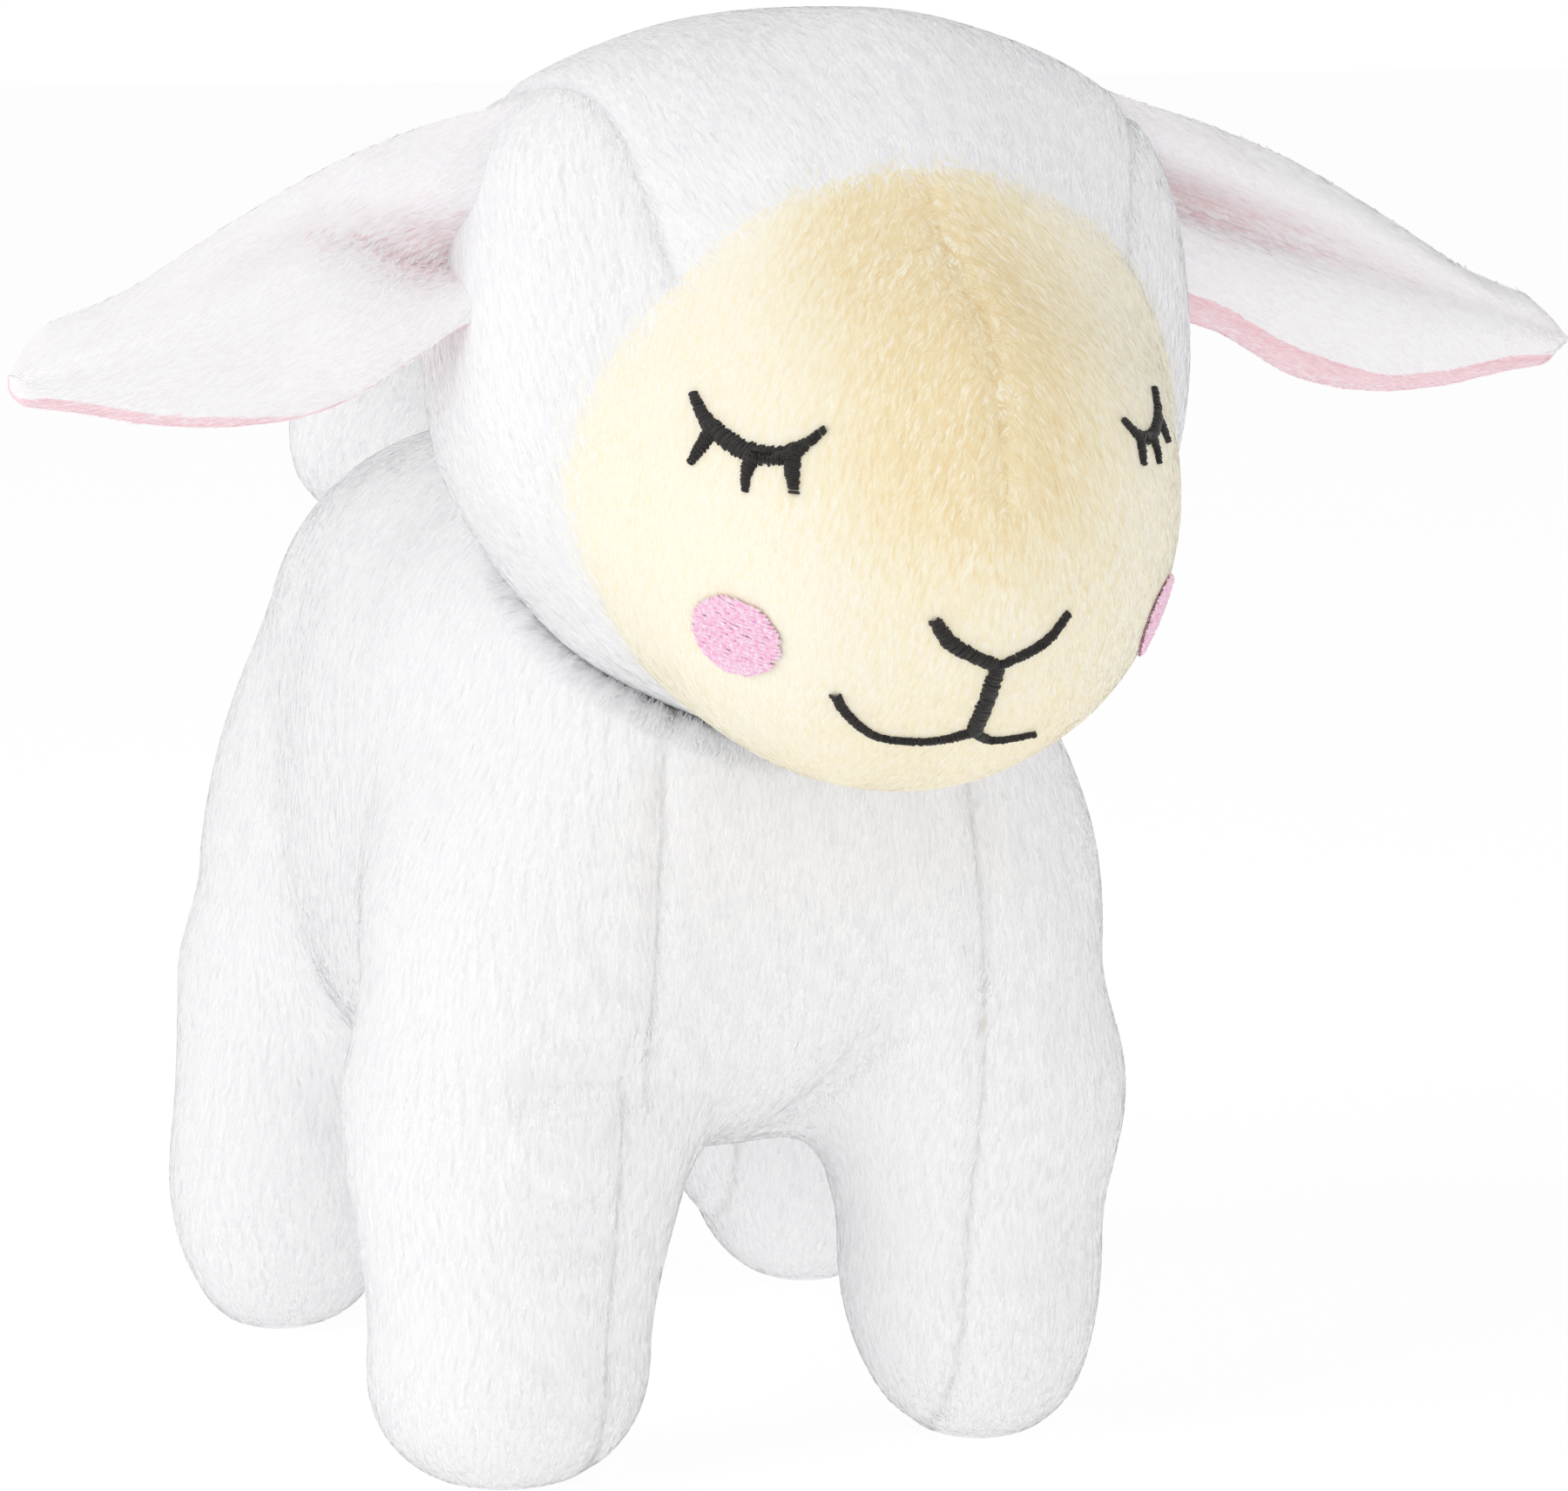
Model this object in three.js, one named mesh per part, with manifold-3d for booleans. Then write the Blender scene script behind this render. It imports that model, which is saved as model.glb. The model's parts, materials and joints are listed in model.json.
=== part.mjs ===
// A plush lamb that stands on four stubby legs. Millimetres, +Z up. The lamb faces -Y, its left
// side is +X, and the origin lies on the floor under the middle of the toy.

import * as THREE from 'three';
import { mergeVertices } from 'three/addons/utils/BufferGeometryUtils.js';
import Module from 'manifold-3d';

const wasm = await Module();
wasm.setup();

// Cloth, thread and fits
const FABRIC = 2.0; // short-pile plush, backing and pile together
const SEAM_GAP = 0.3; // between two panels along their seam
const FILL_GAP = 0.3; // between a panel and the stuffing behind it
const JOINT_GAP = 0.4; // between pieces that move past each other
const THREAD_RADIUS = 0.6; // the strong thread that sews the head on
const STITCH_RADIUS = 0.9; // half the width of an embroidered line
const STITCH_GAP = 0.15; // between the embroidery and the face under it

// Body: a long barrel with four swellings where the legs are sewn on
const BODY_Y = 18.6;
const BODY_Z = 86.5;
const BODY_HALF_WIDTH = 46;
const BODY_HALF_LENGTH = 74;
const BODY_HALF_HEIGHT = 48.5;
const BODY_SQUARENESS = 3;
const BODY_BLEND = 10;

// Head: a round skull, a squarer crown on top of it and a round muzzle in front
const HEAD_INSET = 4.4; // the middle of the skull, behind the front of the body
const HEAD_Y = BODY_Y - BODY_HALF_LENGTH + HEAD_INSET;
const HEAD_Z = 146;
const SKULL_RADIUS = 46;
const CROWN_HALF_WIDTH = 48.4;
const CROWN_HALF_DEPTH = 25.5;
const CROWN_HALF_HEIGHT = 36.3;
const CROWN_SQUARENESS = 2.9;
const CROWN_LEAD = 4;
const CROWN_RISE = 8.5;
const MUZZLE_HALF_WIDTH = 35.4;
const MUZZLE_HALF_DEPTH = 34.2;
const MUZZLE_HALF_HEIGHT = 35.3;
const MUZZLE_LEAD = 27.4;
const MUZZLE_DROP = 14;
const HEAD_BLEND = 7.4;

// Head seams: the flat rim of the face, and the two seams beside the crown
const FACE_SEAM_LEAD = 25.4; // ahead of the middle of the skull
const FACE_SEAM_TILT = 20; // degrees, the rim leans forward at the top
const CROWN_SEAM_FRONT = 31.5; // half the width of the crown panel at the face
const CROWN_SEAM_MIDDLE = 36;
const CROWN_SEAM_NAPE = 22;
const NAPE_DROP = 24; // the crown panel ends this far below the middle of the skull

// Embroidery: points across and above the middle of the skull, mirrored for the right half of the face
const EYE_ARC = [[30.9, 1.1], [30, -2], [27.4, -4.8], [23.9, -4.7], [20.1, -2]];
const EYE_LASHES = [
  [[30, -2], [31.9, -6.3]],
  [[27.4, -4.8], [28.2, -9.2]],
  [[23.9, -4.7], [24, -8.9]],
];
const LEFT_EYE_SCALE = 0.76; // the left eye is smaller
const LEFT_EYE_SHIFT = -1.7; // and its inner corner is nearer the nose
const NOSE_ARM = [[8.6, -24.5], [5.7, -27.8], [0, -30.6]];
const NOSE_STEM = [[0, -30.6], [0, -34.6], [0, -39.3]];
const MOUTH_ARM = [[0, -39.3], [4.8, -40.4], [11.1, -39.7], [15.4, -36.7], [17.5, -34.1]];
const SHORT_MOUTH_ARM = [[0, -39.3], [3.2, -40.6], [9, -40.2]]; // on the left
const CHEEK_MIDDLE = [28.3, -27.2];
const CHEEK_HALF_LENGTH = 6.6;
const CHEEK_HALF_WIDTH = 5.5;
const CHEEK_RISE = 1.2; // how far the filled stitching stands proud

// Neck
const NECK_TILT = 40; // degrees, from straight down towards the rump
const NECK_RING_RADIUS = 25;
const HEAD_NOD = 10; // degrees, each way
const HEAD_TURN = 15; // degrees, each way

// Ears
const EAR_LENGTH = 65.7;
const EAR_DROOP = 18.5; // degrees below level
const EAR_SAG = 4.5; // how far the middle hangs below a straight ear
const EAR_HALF_WIDTH = 17;
const EAR_ROOT_HALF_WIDTH = 11.5; // gathered where it is sewn on
const EAR_TUCK = 5; // length at the root that is trimmed to fit the head
const EAR_GATHER = 14; // length over which the gathers open out
const EAR_LAYER = 2.2; // thickness of each of the two layers at its middle
const EAR_HEM = 0.8; // thickness of each layer at its edge
const EAR_ROOT_TOP = 35; // root seam, above the middle of the skull
const EAR_ROOT_BOTTOM = 11;
const EAR_LEAD = 8.4; // ahead of the middle of the skull
const EAR_SWEEP = 5; // how far the tip lies behind the root
const EAR_CUP = 3; // how far the long edges curl back
const EAR_TAPER = 1.9; // power: how late the ear narrows
const EAR_POINT = 0.8; // power: how blunt its tip is
const EAR_TIP = 0.98; // share of a full point at which the tip ends
const EAR_TIP_HEM = 6; // power: how close to the tip its hem begins
const EAR_FLAP = 35; // degrees, each way

// The body's sway, swellings and seams
const CHEST_SWAY = -2.5; // the stuffed body lies a little askew under the head
const RUMP_SWAY = 5;
const HAUNCH_HALF_WIDTH = 23;
const HAUNCH_HALF_LENGTH = 24;
const HAUNCH_HALF_HEIGHT = 36;
const HAUNCH_RISE = 20; // above the hip
const HAUNCH_INSET = 2.5;
const CHEST_HALF_WIDTH = 24; // at the belly seam
const CHEST_TOP_HALF_WIDTH = 18; // at the height of the skull's middle
const CHEST_BACK = -15.4; // the chest panel lies ahead of this
const BELLY_SEAM_Z = 54;

// Legs
const HIP_Z = 50;
const HIP_RADIUS = 22;
const FRONT_FOOT_RADIUS = 18.5;
const REAR_FOOT_RADIUS = 16.5;
const FOOT_ROUND = 17; // height of the rounded foot
const FOOT_SQUARENESS = 2.3;
const SOLE_CUT = 0.5; // flattened under the toy's own weight
const FRONT_LEG_INSET = 25.5; // behind the front of the body
const FRONT_LEG_Y = BODY_Y - BODY_HALF_LENGTH + FRONT_LEG_INSET;
const FRONT_HIP_X = 33;
const FRONT_FOOT_X = 34.5;
const REAR_LEG_INSET = 23; // ahead of the back of the body
const REAR_LEG_Y = BODY_Y + BODY_HALF_LENGTH - REAR_LEG_INSET;
const REAR_HIP_X = 31.5;
const REAR_FOOT_X = 38.5;
const LEG_SEAM_INSET = 6; // the front seam of a leg, inside its middle
const LEG_SWING = 12; // degrees, each way

// Tail
const TAIL_X = -3.5;
const TAIL_OVERHANG = 4; // the middle of the tail, behind the body
const TAIL_Y = BODY_Y + BODY_HALF_LENGTH + TAIL_OVERHANG;
const TAIL_Z = 128.6;
const TAIL_HALF_WIDTH = 19;
const TAIL_HALF_LENGTH = 16;
const TAIL_HALF_HEIGHT = 16;
const TAIL_ROOT_RADIUS = 10; // gathered where it is sewn on
const TAIL_ROOT_DROP = 8; // below the middle of the tail
const TAIL_BLEND = 8;
const TAIL_WAG = 20; // degrees, each way

// Fineness of the rounded forms, in faces around and faces along
const FORM_FACES = [20, 12];
const TAIL_FACES = [10, 6];
const CHEEK_FACES = [12, 6];
const RING_FACES = [24, 6];
const EAR_FACES = [11, 4];
const LEG_FACES = 16; // around
const LEG_FILL_FACES = 12; // around, inside the cloth
const STITCH_FACES = 6; // around
const STITCH_STEP = 2; // length of one straight run of an embroidered line
const SEAM_STEPS = 3; // straight runs between two stations of the crown seam
const FOOT_STATIONS = [0, 0.06, 0.3, 1]; // shares of the foot's rounding, from the sole up
const SHIN_STATIONS = [0.5]; // shares of the leg between the foot and the hip
const HIP_STEP = 15; // degrees between the rows of the ball at the hip
const HIP_FILL_STEP = 30; // the same, inside the cloth
const ROOT_STATIONS = 8; // places along an ear's root where the head is measured

// Room for the whole toy, which the cutting blocks reach past
const EXTENT = 4 * (BODY_HALF_LENGTH + HEAD_Z);
const DEGREE = Math.PI / 180;

/** A point, written short. */
function at(x, y, z) {
  return new THREE.Vector3(x, y, z);
}

/** How far a point lies outside a rounded lump; the power squares the lump up. */
function lump(point, centre, radii, power) {
  const offset = point.clone().sub(centre);
  const sum = Math.abs(offset.x / radii.x) ** power
    + Math.abs(offset.y / radii.y) ** power
    + Math.abs(offset.z / radii.z) ** power;
  const share = Math.max(sum ** (1 / power), 1e-9);
  return offset.length() * (1 - 1 / share);
}

/** Joins two lumps with a soft hollow instead of a crease. */
function melt(a, b, width) {
  const overlap = Math.max(width - Math.abs(a - b), 0) / width;
  return Math.min(a, b) - overlap * overlap * width / 4;
}

/** Rises smoothly from 0 to 1 as the value goes from 0 to 1. */
function ease(value) {
  const t = THREE.MathUtils.clamp(value, 0, 1);
  return t * t * (3 - 2 * t);
}

/** Distance along a ray from inside a form to its surface, grown by a given amount. */
function reachSurface(form, start, ray, grow) {
  let near = 0;
  let far = EXTENT;
  for (let halving = 0; halving < 48; halving += 1) {
    const middle = (near + far) / 2;
    const point = start.clone().addScaledVector(ray, middle);
    if (form.field(point) < grow) near = middle;
    else far = middle;
  }
  return near;
}

/** A closed skin over a form: a ball whose points are pushed out to the form's surface. */
function skinGeometry(form, grow, faces) {
  const ball = new THREE.SphereGeometry(1, faces[0], faces[1]);
  const position = ball.attributes.position;
  for (let i = 0; i < position.count; i += 1) {
    const ray = at(0, 0, 0).fromBufferAttribute(position, i).normalize();
    const point = form.centre.clone().addScaledVector(ray, reachSurface(form, form.centre, ray, grow));
    position.setXYZ(i, point.x, point.y, point.z);
  }
  return ball;
}

/** Turns a closed geometry into a solid that can be joined and cut. */
function solid(geometry) {
  geometry.deleteAttribute('normal');
  geometry.deleteAttribute('uv');
  const merged = mergeVertices(geometry, 1e-5);
  return new wasm.Manifold(new wasm.Mesh({
    numProp: 3,
    vertProperties: new Float32Array(merged.attributes.position.array),
    triVerts: new Uint32Array(merged.index.array),
  }));
}

/** A turned copy of a geometry, about an axis through a point. */
function turned(geometry, pivot, axis, degrees) {
  const turn = new THREE.Matrix4().makeTranslation(pivot.x, pivot.y, pivot.z)
    .multiply(new THREE.Matrix4().makeRotationAxis(axis, degrees * DEGREE))
    .multiply(new THREE.Matrix4().makeTranslation(-pivot.x, -pivot.y, -pivot.z));
  return geometry.clone().applyMatrix4(turn);
}

/** A form at rest and at both ends of its turn, as one solid. */
function sweep(geometry, pivot, axis, degrees) {
  return [-degrees, 0, degrees]
    .map((angle) => solid(turned(geometry, pivot, axis, angle)))
    .reduce((whole, part) => whole.add(part));
}

/** A block between two corners, for cutting along seams. */
function block(low, high) {
  const size = high.clone().sub(low);
  const box = new THREE.BoxGeometry(size.x, size.y, size.z);
  return solid(box.translate(low.x + size.x / 2, low.y + size.y / 2, low.z + size.z / 2));
}

/** Everything on one side of a plane across X: above it for side 1, below it for side -1. */
function sideOf(x, side) {
  const low = at(side > 0 ? x : -EXTENT, -EXTENT, -EXTENT);
  const high = at(side > 0 ? EXTENT : x, EXTENT, EXTENT);
  return block(low, high);
}

/** The skin of a form, one fabric thick. */
function fabricShell(form, faces) {
  return solid(skinGeometry(form, 0, faces)).subtract(solid(skinGeometry(form, -FABRIC, faces)));
}

/** The stuffing inside a form's fabric. */
function filling(form, faces) {
  return solid(skinGeometry(form, -FABRIC - FILL_GAP, faces));
}

// Materials
const whitePlush = { color: 0xf6f4f6, roughness: 0.95, metalness: 0 };
const creamPlush = { color: 0xf6e7bf, roughness: 0.95, metalness: 0 };
const pinkPlush = { color: 0xf8cbd0, roughness: 0.95, metalness: 0 };
const pinkThread = { color: 0xf4a3c8, roughness: 0.6, metalness: 0 };
const blackThread = { color: 0x262423, roughness: 0.55, metalness: 0 };
const whiteThread = { color: 0xf2f0ee, roughness: 0.6, metalness: 0 };
const stuffing = { color: 0xfafafa, roughness: 1, metalness: 0 };

const lamb = new THREE.Group();

/** The main body of a cut piece, without the crumbs that crossing seams can leave. */
function mainBody(shape) {
  return shape.decompose().reduce((best, part) => (part.volume() > best.volume() ? part : best));
}

/** Adds one finished piece to the toy. */
function addPiece(name, shape, finish) {
  const cut = mainBody(shape).getMesh();
  const geometry = new THREE.BufferGeometry();
  geometry.setAttribute('position', new THREE.BufferAttribute(new Float32Array(cut.vertProperties), 3));
  geometry.setIndex(new THREE.BufferAttribute(new Uint32Array(cut.triVerts), 1));
  geometry.computeVertexNormals();
  const mesh = new THREE.Mesh(geometry, new THREE.MeshStandardMaterial(finish));
  mesh.name = name;
  lamb.add(mesh);
}

// Head
const headCentre = at(0, HEAD_Y, HEAD_Z);
const crownCentre = headCentre.clone().add(at(0, -CROWN_LEAD, CROWN_RISE));
const crownRadii = at(CROWN_HALF_WIDTH, CROWN_HALF_DEPTH, CROWN_HALF_HEIGHT);
const muzzleCentre = headCentre.clone().add(at(0, -MUZZLE_LEAD, -MUZZLE_DROP));
const muzzleRadii = at(MUZZLE_HALF_WIDTH, MUZZLE_HALF_DEPTH, MUZZLE_HALF_HEIGHT);
const head = {
  centre: headCentre,
  field(point) {
    const skull = point.distanceTo(headCentre) - SKULL_RADIUS;
    const crown = lump(point, crownCentre, crownRadii, CROWN_SQUARENESS);
    const muzzle = lump(point, muzzleCentre, muzzleRadii, 2);
    return melt(melt(skull, crown, HEAD_BLEND), muzzle, HEAD_BLEND);
  },
};

const faceSeam = headCentre.clone().add(at(0, -FACE_SEAM_LEAD, 0));
const across = at(1, 0, 0);
const upright = at(0, 0, 1);

/** The space ahead of the face's rim, with the rim moved forward by a given amount. */
function faceSpace(shift) {
  const ahead = new THREE.BoxGeometry(EXTENT, EXTENT, EXTENT);
  ahead.translate(faceSeam.x, faceSeam.y - shift - EXTENT / 2, faceSeam.z);
  return solid(turned(ahead, faceSeam, across, FACE_SEAM_TILT));
}

/** The space over the crown panel, narrower by a given amount on each side. */
function crownSpace(inset) {
  const stations = [
    [CROWN_SEAM_FRONT, HEAD_Y - SKULL_RADIUS - MUZZLE_LEAD],
    [CROWN_SEAM_FRONT, HEAD_Y - FACE_SEAM_LEAD],
    [CROWN_SEAM_MIDDLE, HEAD_Y],
    [CROWN_SEAM_NAPE, HEAD_Y + SKULL_RADIUS],
  ];
  const left = stations.map(([x, y]) => new THREE.Vector2(x - inset, y));
  const right = stations.map(([x, y]) => new THREE.Vector2(inset - x, y)).reverse();
  const outline = new THREE.Shape();
  outline.moveTo(left[0].x, left[0].y);
  outline.splineThru(left.slice(1));
  outline.lineTo(right[0].x, right[0].y);
  outline.splineThru(right.slice(1));
  outline.closePath();
  const column = new THREE.ExtrudeGeometry(outline, {
    depth: EXTENT, bevelEnabled: false, curveSegments: SEAM_STEPS,
  });
  return solid(column.translate(0, 0, HEAD_Z - NAPE_DROP + inset));
}

const headSkin = fabricShell(head, FORM_FACES);
const headBehindFace = headSkin.subtract(faceSpace(-SEAM_GAP / 2));
const headSides = headBehindFace.subtract(crownSpace(-SEAM_GAP / 2));
addPiece('face_panel', headSkin.intersect(faceSpace(SEAM_GAP / 2)), creamPlush);
addPiece('crown_panel', headBehindFace.intersect(crownSpace(SEAM_GAP / 2)), whitePlush);
addPiece('head_side_left', headSides.intersect(sideOf(SEAM_GAP / 2, 1)), whitePlush);
addPiece('head_side_right', headSides.intersect(sideOf(-SEAM_GAP / 2, -1)), whitePlush);
addPiece('head_stuffing', filling(head, FORM_FACES), stuffing);

// Embroidery on the face

/** The direction straight out of the head's surface at a point. */
function headNormal(point) {
  const step = STITCH_GAP;
  const slope = (move) => head.field(point.clone().add(move)) - head.field(point.clone().sub(move));
  return at(slope(at(step, 0, 0)), slope(at(0, step, 0)), slope(at(0, 0, step))).normalize();
}

/** The face seen from the front: a place across and above the skull's middle, lifted off the cloth. */
function onFace(x, rise, lift) {
  const start = at(x, HEAD_Y - CROWN_LEAD, HEAD_Z + rise);
  const forward = at(0, -1, 0);
  const point = start.addScaledVector(forward, reachSurface(head, start.clone(), forward, 0));
  return point.addScaledVector(headNormal(point), lift);
}

/** One embroidered line, a round cord of thread that lies on the face. */
function stitchLine(places, side) {
  const flat = new THREE.SplineCurve(places.map(([x, rise]) => new THREE.Vector2(side * x, rise)));
  const steps = Math.ceil(flat.getLength() / STITCH_STEP);
  const route = flat.getSpacedPoints(steps)
    .map((place) => onFace(place.x, place.y, STITCH_RADIUS + STITCH_GAP));
  const section = new THREE.Shape();
  section.absarc(0, 0, STITCH_RADIUS, 0, 2 * Math.PI);
  return solid(new THREE.ExtrudeGeometry(section, {
    steps,
    curveSegments: STITCH_FACES / 2,
    bevelEnabled: false,
    extrudePath: new THREE.CatmullRomCurve3(route),
  }));
}

/** Places of the right eye moved to the smaller left one. */
function leftEye(places) {
  const corner = EYE_ARC[EYE_ARC.length - 1][0];
  return places.map(([x, rise]) => [corner + LEFT_EYE_SHIFT + LEFT_EYE_SCALE * (x - corner), rise]);
}

/** A closed eye: the lid's arc with three lashes under it. */
function closedEye(side) {
  const lines = [EYE_ARC, ...EYE_LASHES].map((places) => (side > 0 ? leftEye(places) : places));
  return lines.map((places) => stitchLine(places, side)).reduce((eye, line) => eye.add(line));
}

/** A filled oval of stitching: a flat-backed button that follows the cheek. */
function cheekPatch(side) {
  const middle = onFace(side * CHEEK_MIDDLE[0], CHEEK_MIDDLE[1], 0);
  const out = headNormal(middle);
  const along = at(0, 0, 1).cross(out).normalize();
  const up = out.clone().cross(along);
  const button = new THREE.SphereGeometry(1, ...CHEEK_FACES).rotateX(Math.PI / 2);
  const position = button.attributes.position;
  for (let i = 0; i < position.count; i += 1) {
    const place = at(0, 0, 0).fromBufferAttribute(position, i);
    const start = middle.clone()
      .addScaledVector(along, place.x * CHEEK_HALF_LENGTH)
      .addScaledVector(up, place.y * CHEEK_HALF_WIDTH)
      .addScaledVector(out, -SKULL_RADIUS / 2);
    const cloth = start.addScaledVector(out, reachSurface(head, start.clone(), out, 0));
    cloth.addScaledVector(headNormal(cloth), STITCH_GAP + CHEEK_RISE * Math.max(0, place.z));
    position.setXYZ(i, cloth.x, cloth.y, cloth.z);
  }
  return solid(button);
}

const noseAndMouth = [
  stitchLine(NOSE_ARM, 1),
  stitchLine(NOSE_ARM, -1),
  stitchLine(NOSE_STEM, 1),
  stitchLine(SHORT_MOUTH_ARM, 1),
  stitchLine(MOUTH_ARM, -1),
].reduce((whole, line) => whole.add(line));

addPiece('eye_stitch_left', closedEye(1), blackThread);
addPiece('eye_stitch_right', closedEye(-1), blackThread);
addPiece('cheek_stitch_left', cheekPatch(1), pinkThread);
addPiece('cheek_stitch_right', cheekPatch(-1), pinkThread);
addPiece('nose_and_mouth_stitch', noseAndMouth, blackThread);

// Ears: two flat layers sewn into the head along an almost upright root seam

/** Half the width of the head at a height, where the ears are sewn on. */
function headHalfWidth(rise) {
  return reachSurface(head, at(0, HEAD_Y - EAR_LEAD, HEAD_Z + rise), across, 0);
}

/** The root seam of an ear, clear of the head's bulge: its middle and its direction. */
function earRoot(side) {
  const low = at(headHalfWidth(EAR_ROOT_BOTTOM), HEAD_Y - EAR_LEAD, HEAD_Z + EAR_ROOT_BOTTOM);
  const high = at(headHalfWidth(EAR_ROOT_TOP), HEAD_Y - EAR_LEAD, HEAD_Z + EAR_ROOT_TOP);
  let bulge = 0;
  for (let share = 0; share <= 1; share += 1 / ROOT_STATIONS) {
    const rise = THREE.MathUtils.lerp(EAR_ROOT_BOTTOM, EAR_ROOT_TOP, share);
    bulge = Math.max(bulge, headHalfWidth(rise) - THREE.MathUtils.lerp(low.x, high.x, share));
  }
  const offset = at(bulge, 0, 0);
  const mirror = at(side, 1, 1);
  return {
    middle: low.clone().lerp(high, 0.5).add(offset).multiply(mirror),
    upward: high.clone().sub(low).normalize().multiply(mirror),
  };
}

/** One layer of an ear: the outer cloth for face 1, the lining for face -1. */
function earLayer(side, face) {
  const root = earRoot(side);
  const lengthwise = at(side * Math.cos(EAR_DROOP * DEGREE), 0, -Math.sin(EAR_DROOP * DEGREE));
  const sheet = new THREE.BoxGeometry(1, 1, 1, ...EAR_FACES, 1);
  const position = sheet.attributes.position;
  for (let i = 0; i < position.count; i += 1) {
    const reach = THREE.MathUtils.lerp(-EAR_TUCK, EAR_LENGTH, position.getX(i) + 0.5);
    const along = Math.max(reach / EAR_LENGTH, 0);
    const cross = 2 * position.getY(i);
    const outside = position.getZ(i) > 0 ? 1 : 0;
    const open = ease(reach / EAR_GATHER);
    const taper = (1 - (EAR_TIP * along) ** EAR_TAPER) ** EAR_POINT;
    const halfWidth = taper * THREE.MathUtils.lerp(EAR_ROOT_HALF_WIDTH, EAR_HALF_WIDTH, open);
    const hemward = Math.max(cross * cross, along ** EAR_TIP_HEM);
    const depth = SEAM_GAP / 2 + outside * THREE.MathUtils.lerp(EAR_LAYER, EAR_HEM, hemward);
    const point = root.middle.clone()
      .addScaledVector(lengthwise, reach)
      .addScaledVector(root.upward, cross * halfWidth - EAR_SAG * 4 * along * (1 - along));
    const curl = EAR_SWEEP * along + EAR_CUP * cross * cross * open;
    point.y += curl - face * depth;
    position.setXYZ(i, point.x, point.y, point.z);
  }
  if (side * face < 0) {
    const index = sheet.index.array;
    for (let i = 0; i < index.length; i += 3) [index[i], index[i + 1]] = [index[i + 1], index[i]];
  }
  return solid(sheet);
}

/** Room that the head takes from an ear that flaps about its root. */
function earClearance(side) {
  const root = earRoot(side);
  return sweep(skinGeometry(head, JOINT_GAP, FORM_FACES), root.middle, root.upward, EAR_FLAP);
}

for (const [name, side] of [['left', 1], ['right', -1]]) {
  const clearance = earClearance(side);
  addPiece(`ear_outer_${name}`, earLayer(side, 1).subtract(clearance), whitePlush);
  addPiece(`ear_lining_${name}`, earLayer(side, -1).subtract(clearance), pinkPlush);
}

// Body
const frontLeg = {
  hipX: FRONT_HIP_X, footX: FRONT_FOOT_X, foot: FRONT_FOOT_RADIUS, y: FRONT_LEG_Y, sway: CHEST_SWAY,
};
const rearLeg = {
  hipX: REAR_HIP_X, footX: REAR_FOOT_X, foot: REAR_FOOT_RADIUS, y: REAR_LEG_Y, sway: RUMP_SWAY,
};
const legs = [
  { name: 'front_left', side: 1, ...frontLeg },
  { name: 'front_right', side: -1, ...frontLeg },
  { name: 'rear_left', side: 1, ...rearLeg },
  { name: 'rear_right', side: -1, ...rearLeg },
];
const bodyCentre = at(0, BODY_Y, BODY_Z);
const bodyRadii = at(BODY_HALF_WIDTH, BODY_HALF_LENGTH, BODY_HALF_HEIGHT);
const haunchRadii = at(HAUNCH_HALF_WIDTH, HAUNCH_HALF_LENGTH, HAUNCH_HALF_HEIGHT);
const haunchCentres = legs.map(
  (leg) => at(leg.side * (leg.hipX - HAUNCH_INSET), leg.y, HIP_Z + HAUNCH_RISE),
);

/** How far the body's middle line lies to the left at a place along it. */
function sway(y) {
  const share = ease((y - FRONT_LEG_Y) / (REAR_LEG_Y - FRONT_LEG_Y));
  return THREE.MathUtils.lerp(CHEST_SWAY, RUMP_SWAY, share);
}

const body = {
  centre: bodyCentre.clone().add(at(sway(BODY_Y), 0, 0)),
  field(point) {
    const straight = point.clone().sub(at(sway(point.y), 0, 0));
    const barrel = lump(straight, bodyCentre, bodyRadii, BODY_SQUARENESS);
    return haunchCentres.reduce(
      (skin, centre) => melt(skin, lump(straight, centre, haunchRadii, 2), BODY_BLEND),
      barrel,
    );
  },
};

/** Radius of a leg at a height, where the leg is grown by a given amount. */
function legRadius(leg, z, grow) {
  if (z >= HIP_Z) return Math.sqrt(Math.max((HIP_RADIUS + grow) ** 2 - (z - HIP_Z) ** 2, 0));
  if (z >= FOOT_ROUND) {
    const share = ease((z - FOOT_ROUND) / (HIP_Z - FOOT_ROUND));
    return grow + THREE.MathUtils.lerp(leg.foot, HIP_RADIUS, share);
  }
  const drop = Math.min((FOOT_ROUND - z) / (FOOT_ROUND + SOLE_CUT + grow), 1);
  return (leg.foot + grow) * (1 - drop ** FOOT_SQUARENESS) ** (1 / FOOT_SQUARENESS);
}

/** Turns an upright outline round a leg's own line, which splays outward below the hip. */
function roundLeg(leg, outline, faces) {
  const shape = new THREE.LatheGeometry(outline, faces).rotateX(Math.PI / 2);
  const position = shape.attributes.position;
  for (let i = 0; i < position.count; i += 1) {
    const splay = (leg.footX - leg.hipX) * Math.max(1 - position.getZ(i) / HIP_Z, 0);
    position.setX(i, position.getX(i) + leg.side * (leg.hipX + splay) + leg.sway);
    position.setY(i, position.getY(i) + leg.y);
  }
  return solid(shape);
}

/** The upper outline of a leg: a ball at the hip, grown by a given amount. */
function hipOutline(leg, grow, step) {
  const outline = [];
  for (let angle = 0; angle <= 90; angle += step) {
    const z = HIP_Z + (HIP_RADIUS + grow) * Math.sin(angle * DEGREE);
    outline.push(new THREE.Vector2(legRadius(leg, z, grow), z));
  }
  return outline;
}

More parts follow.
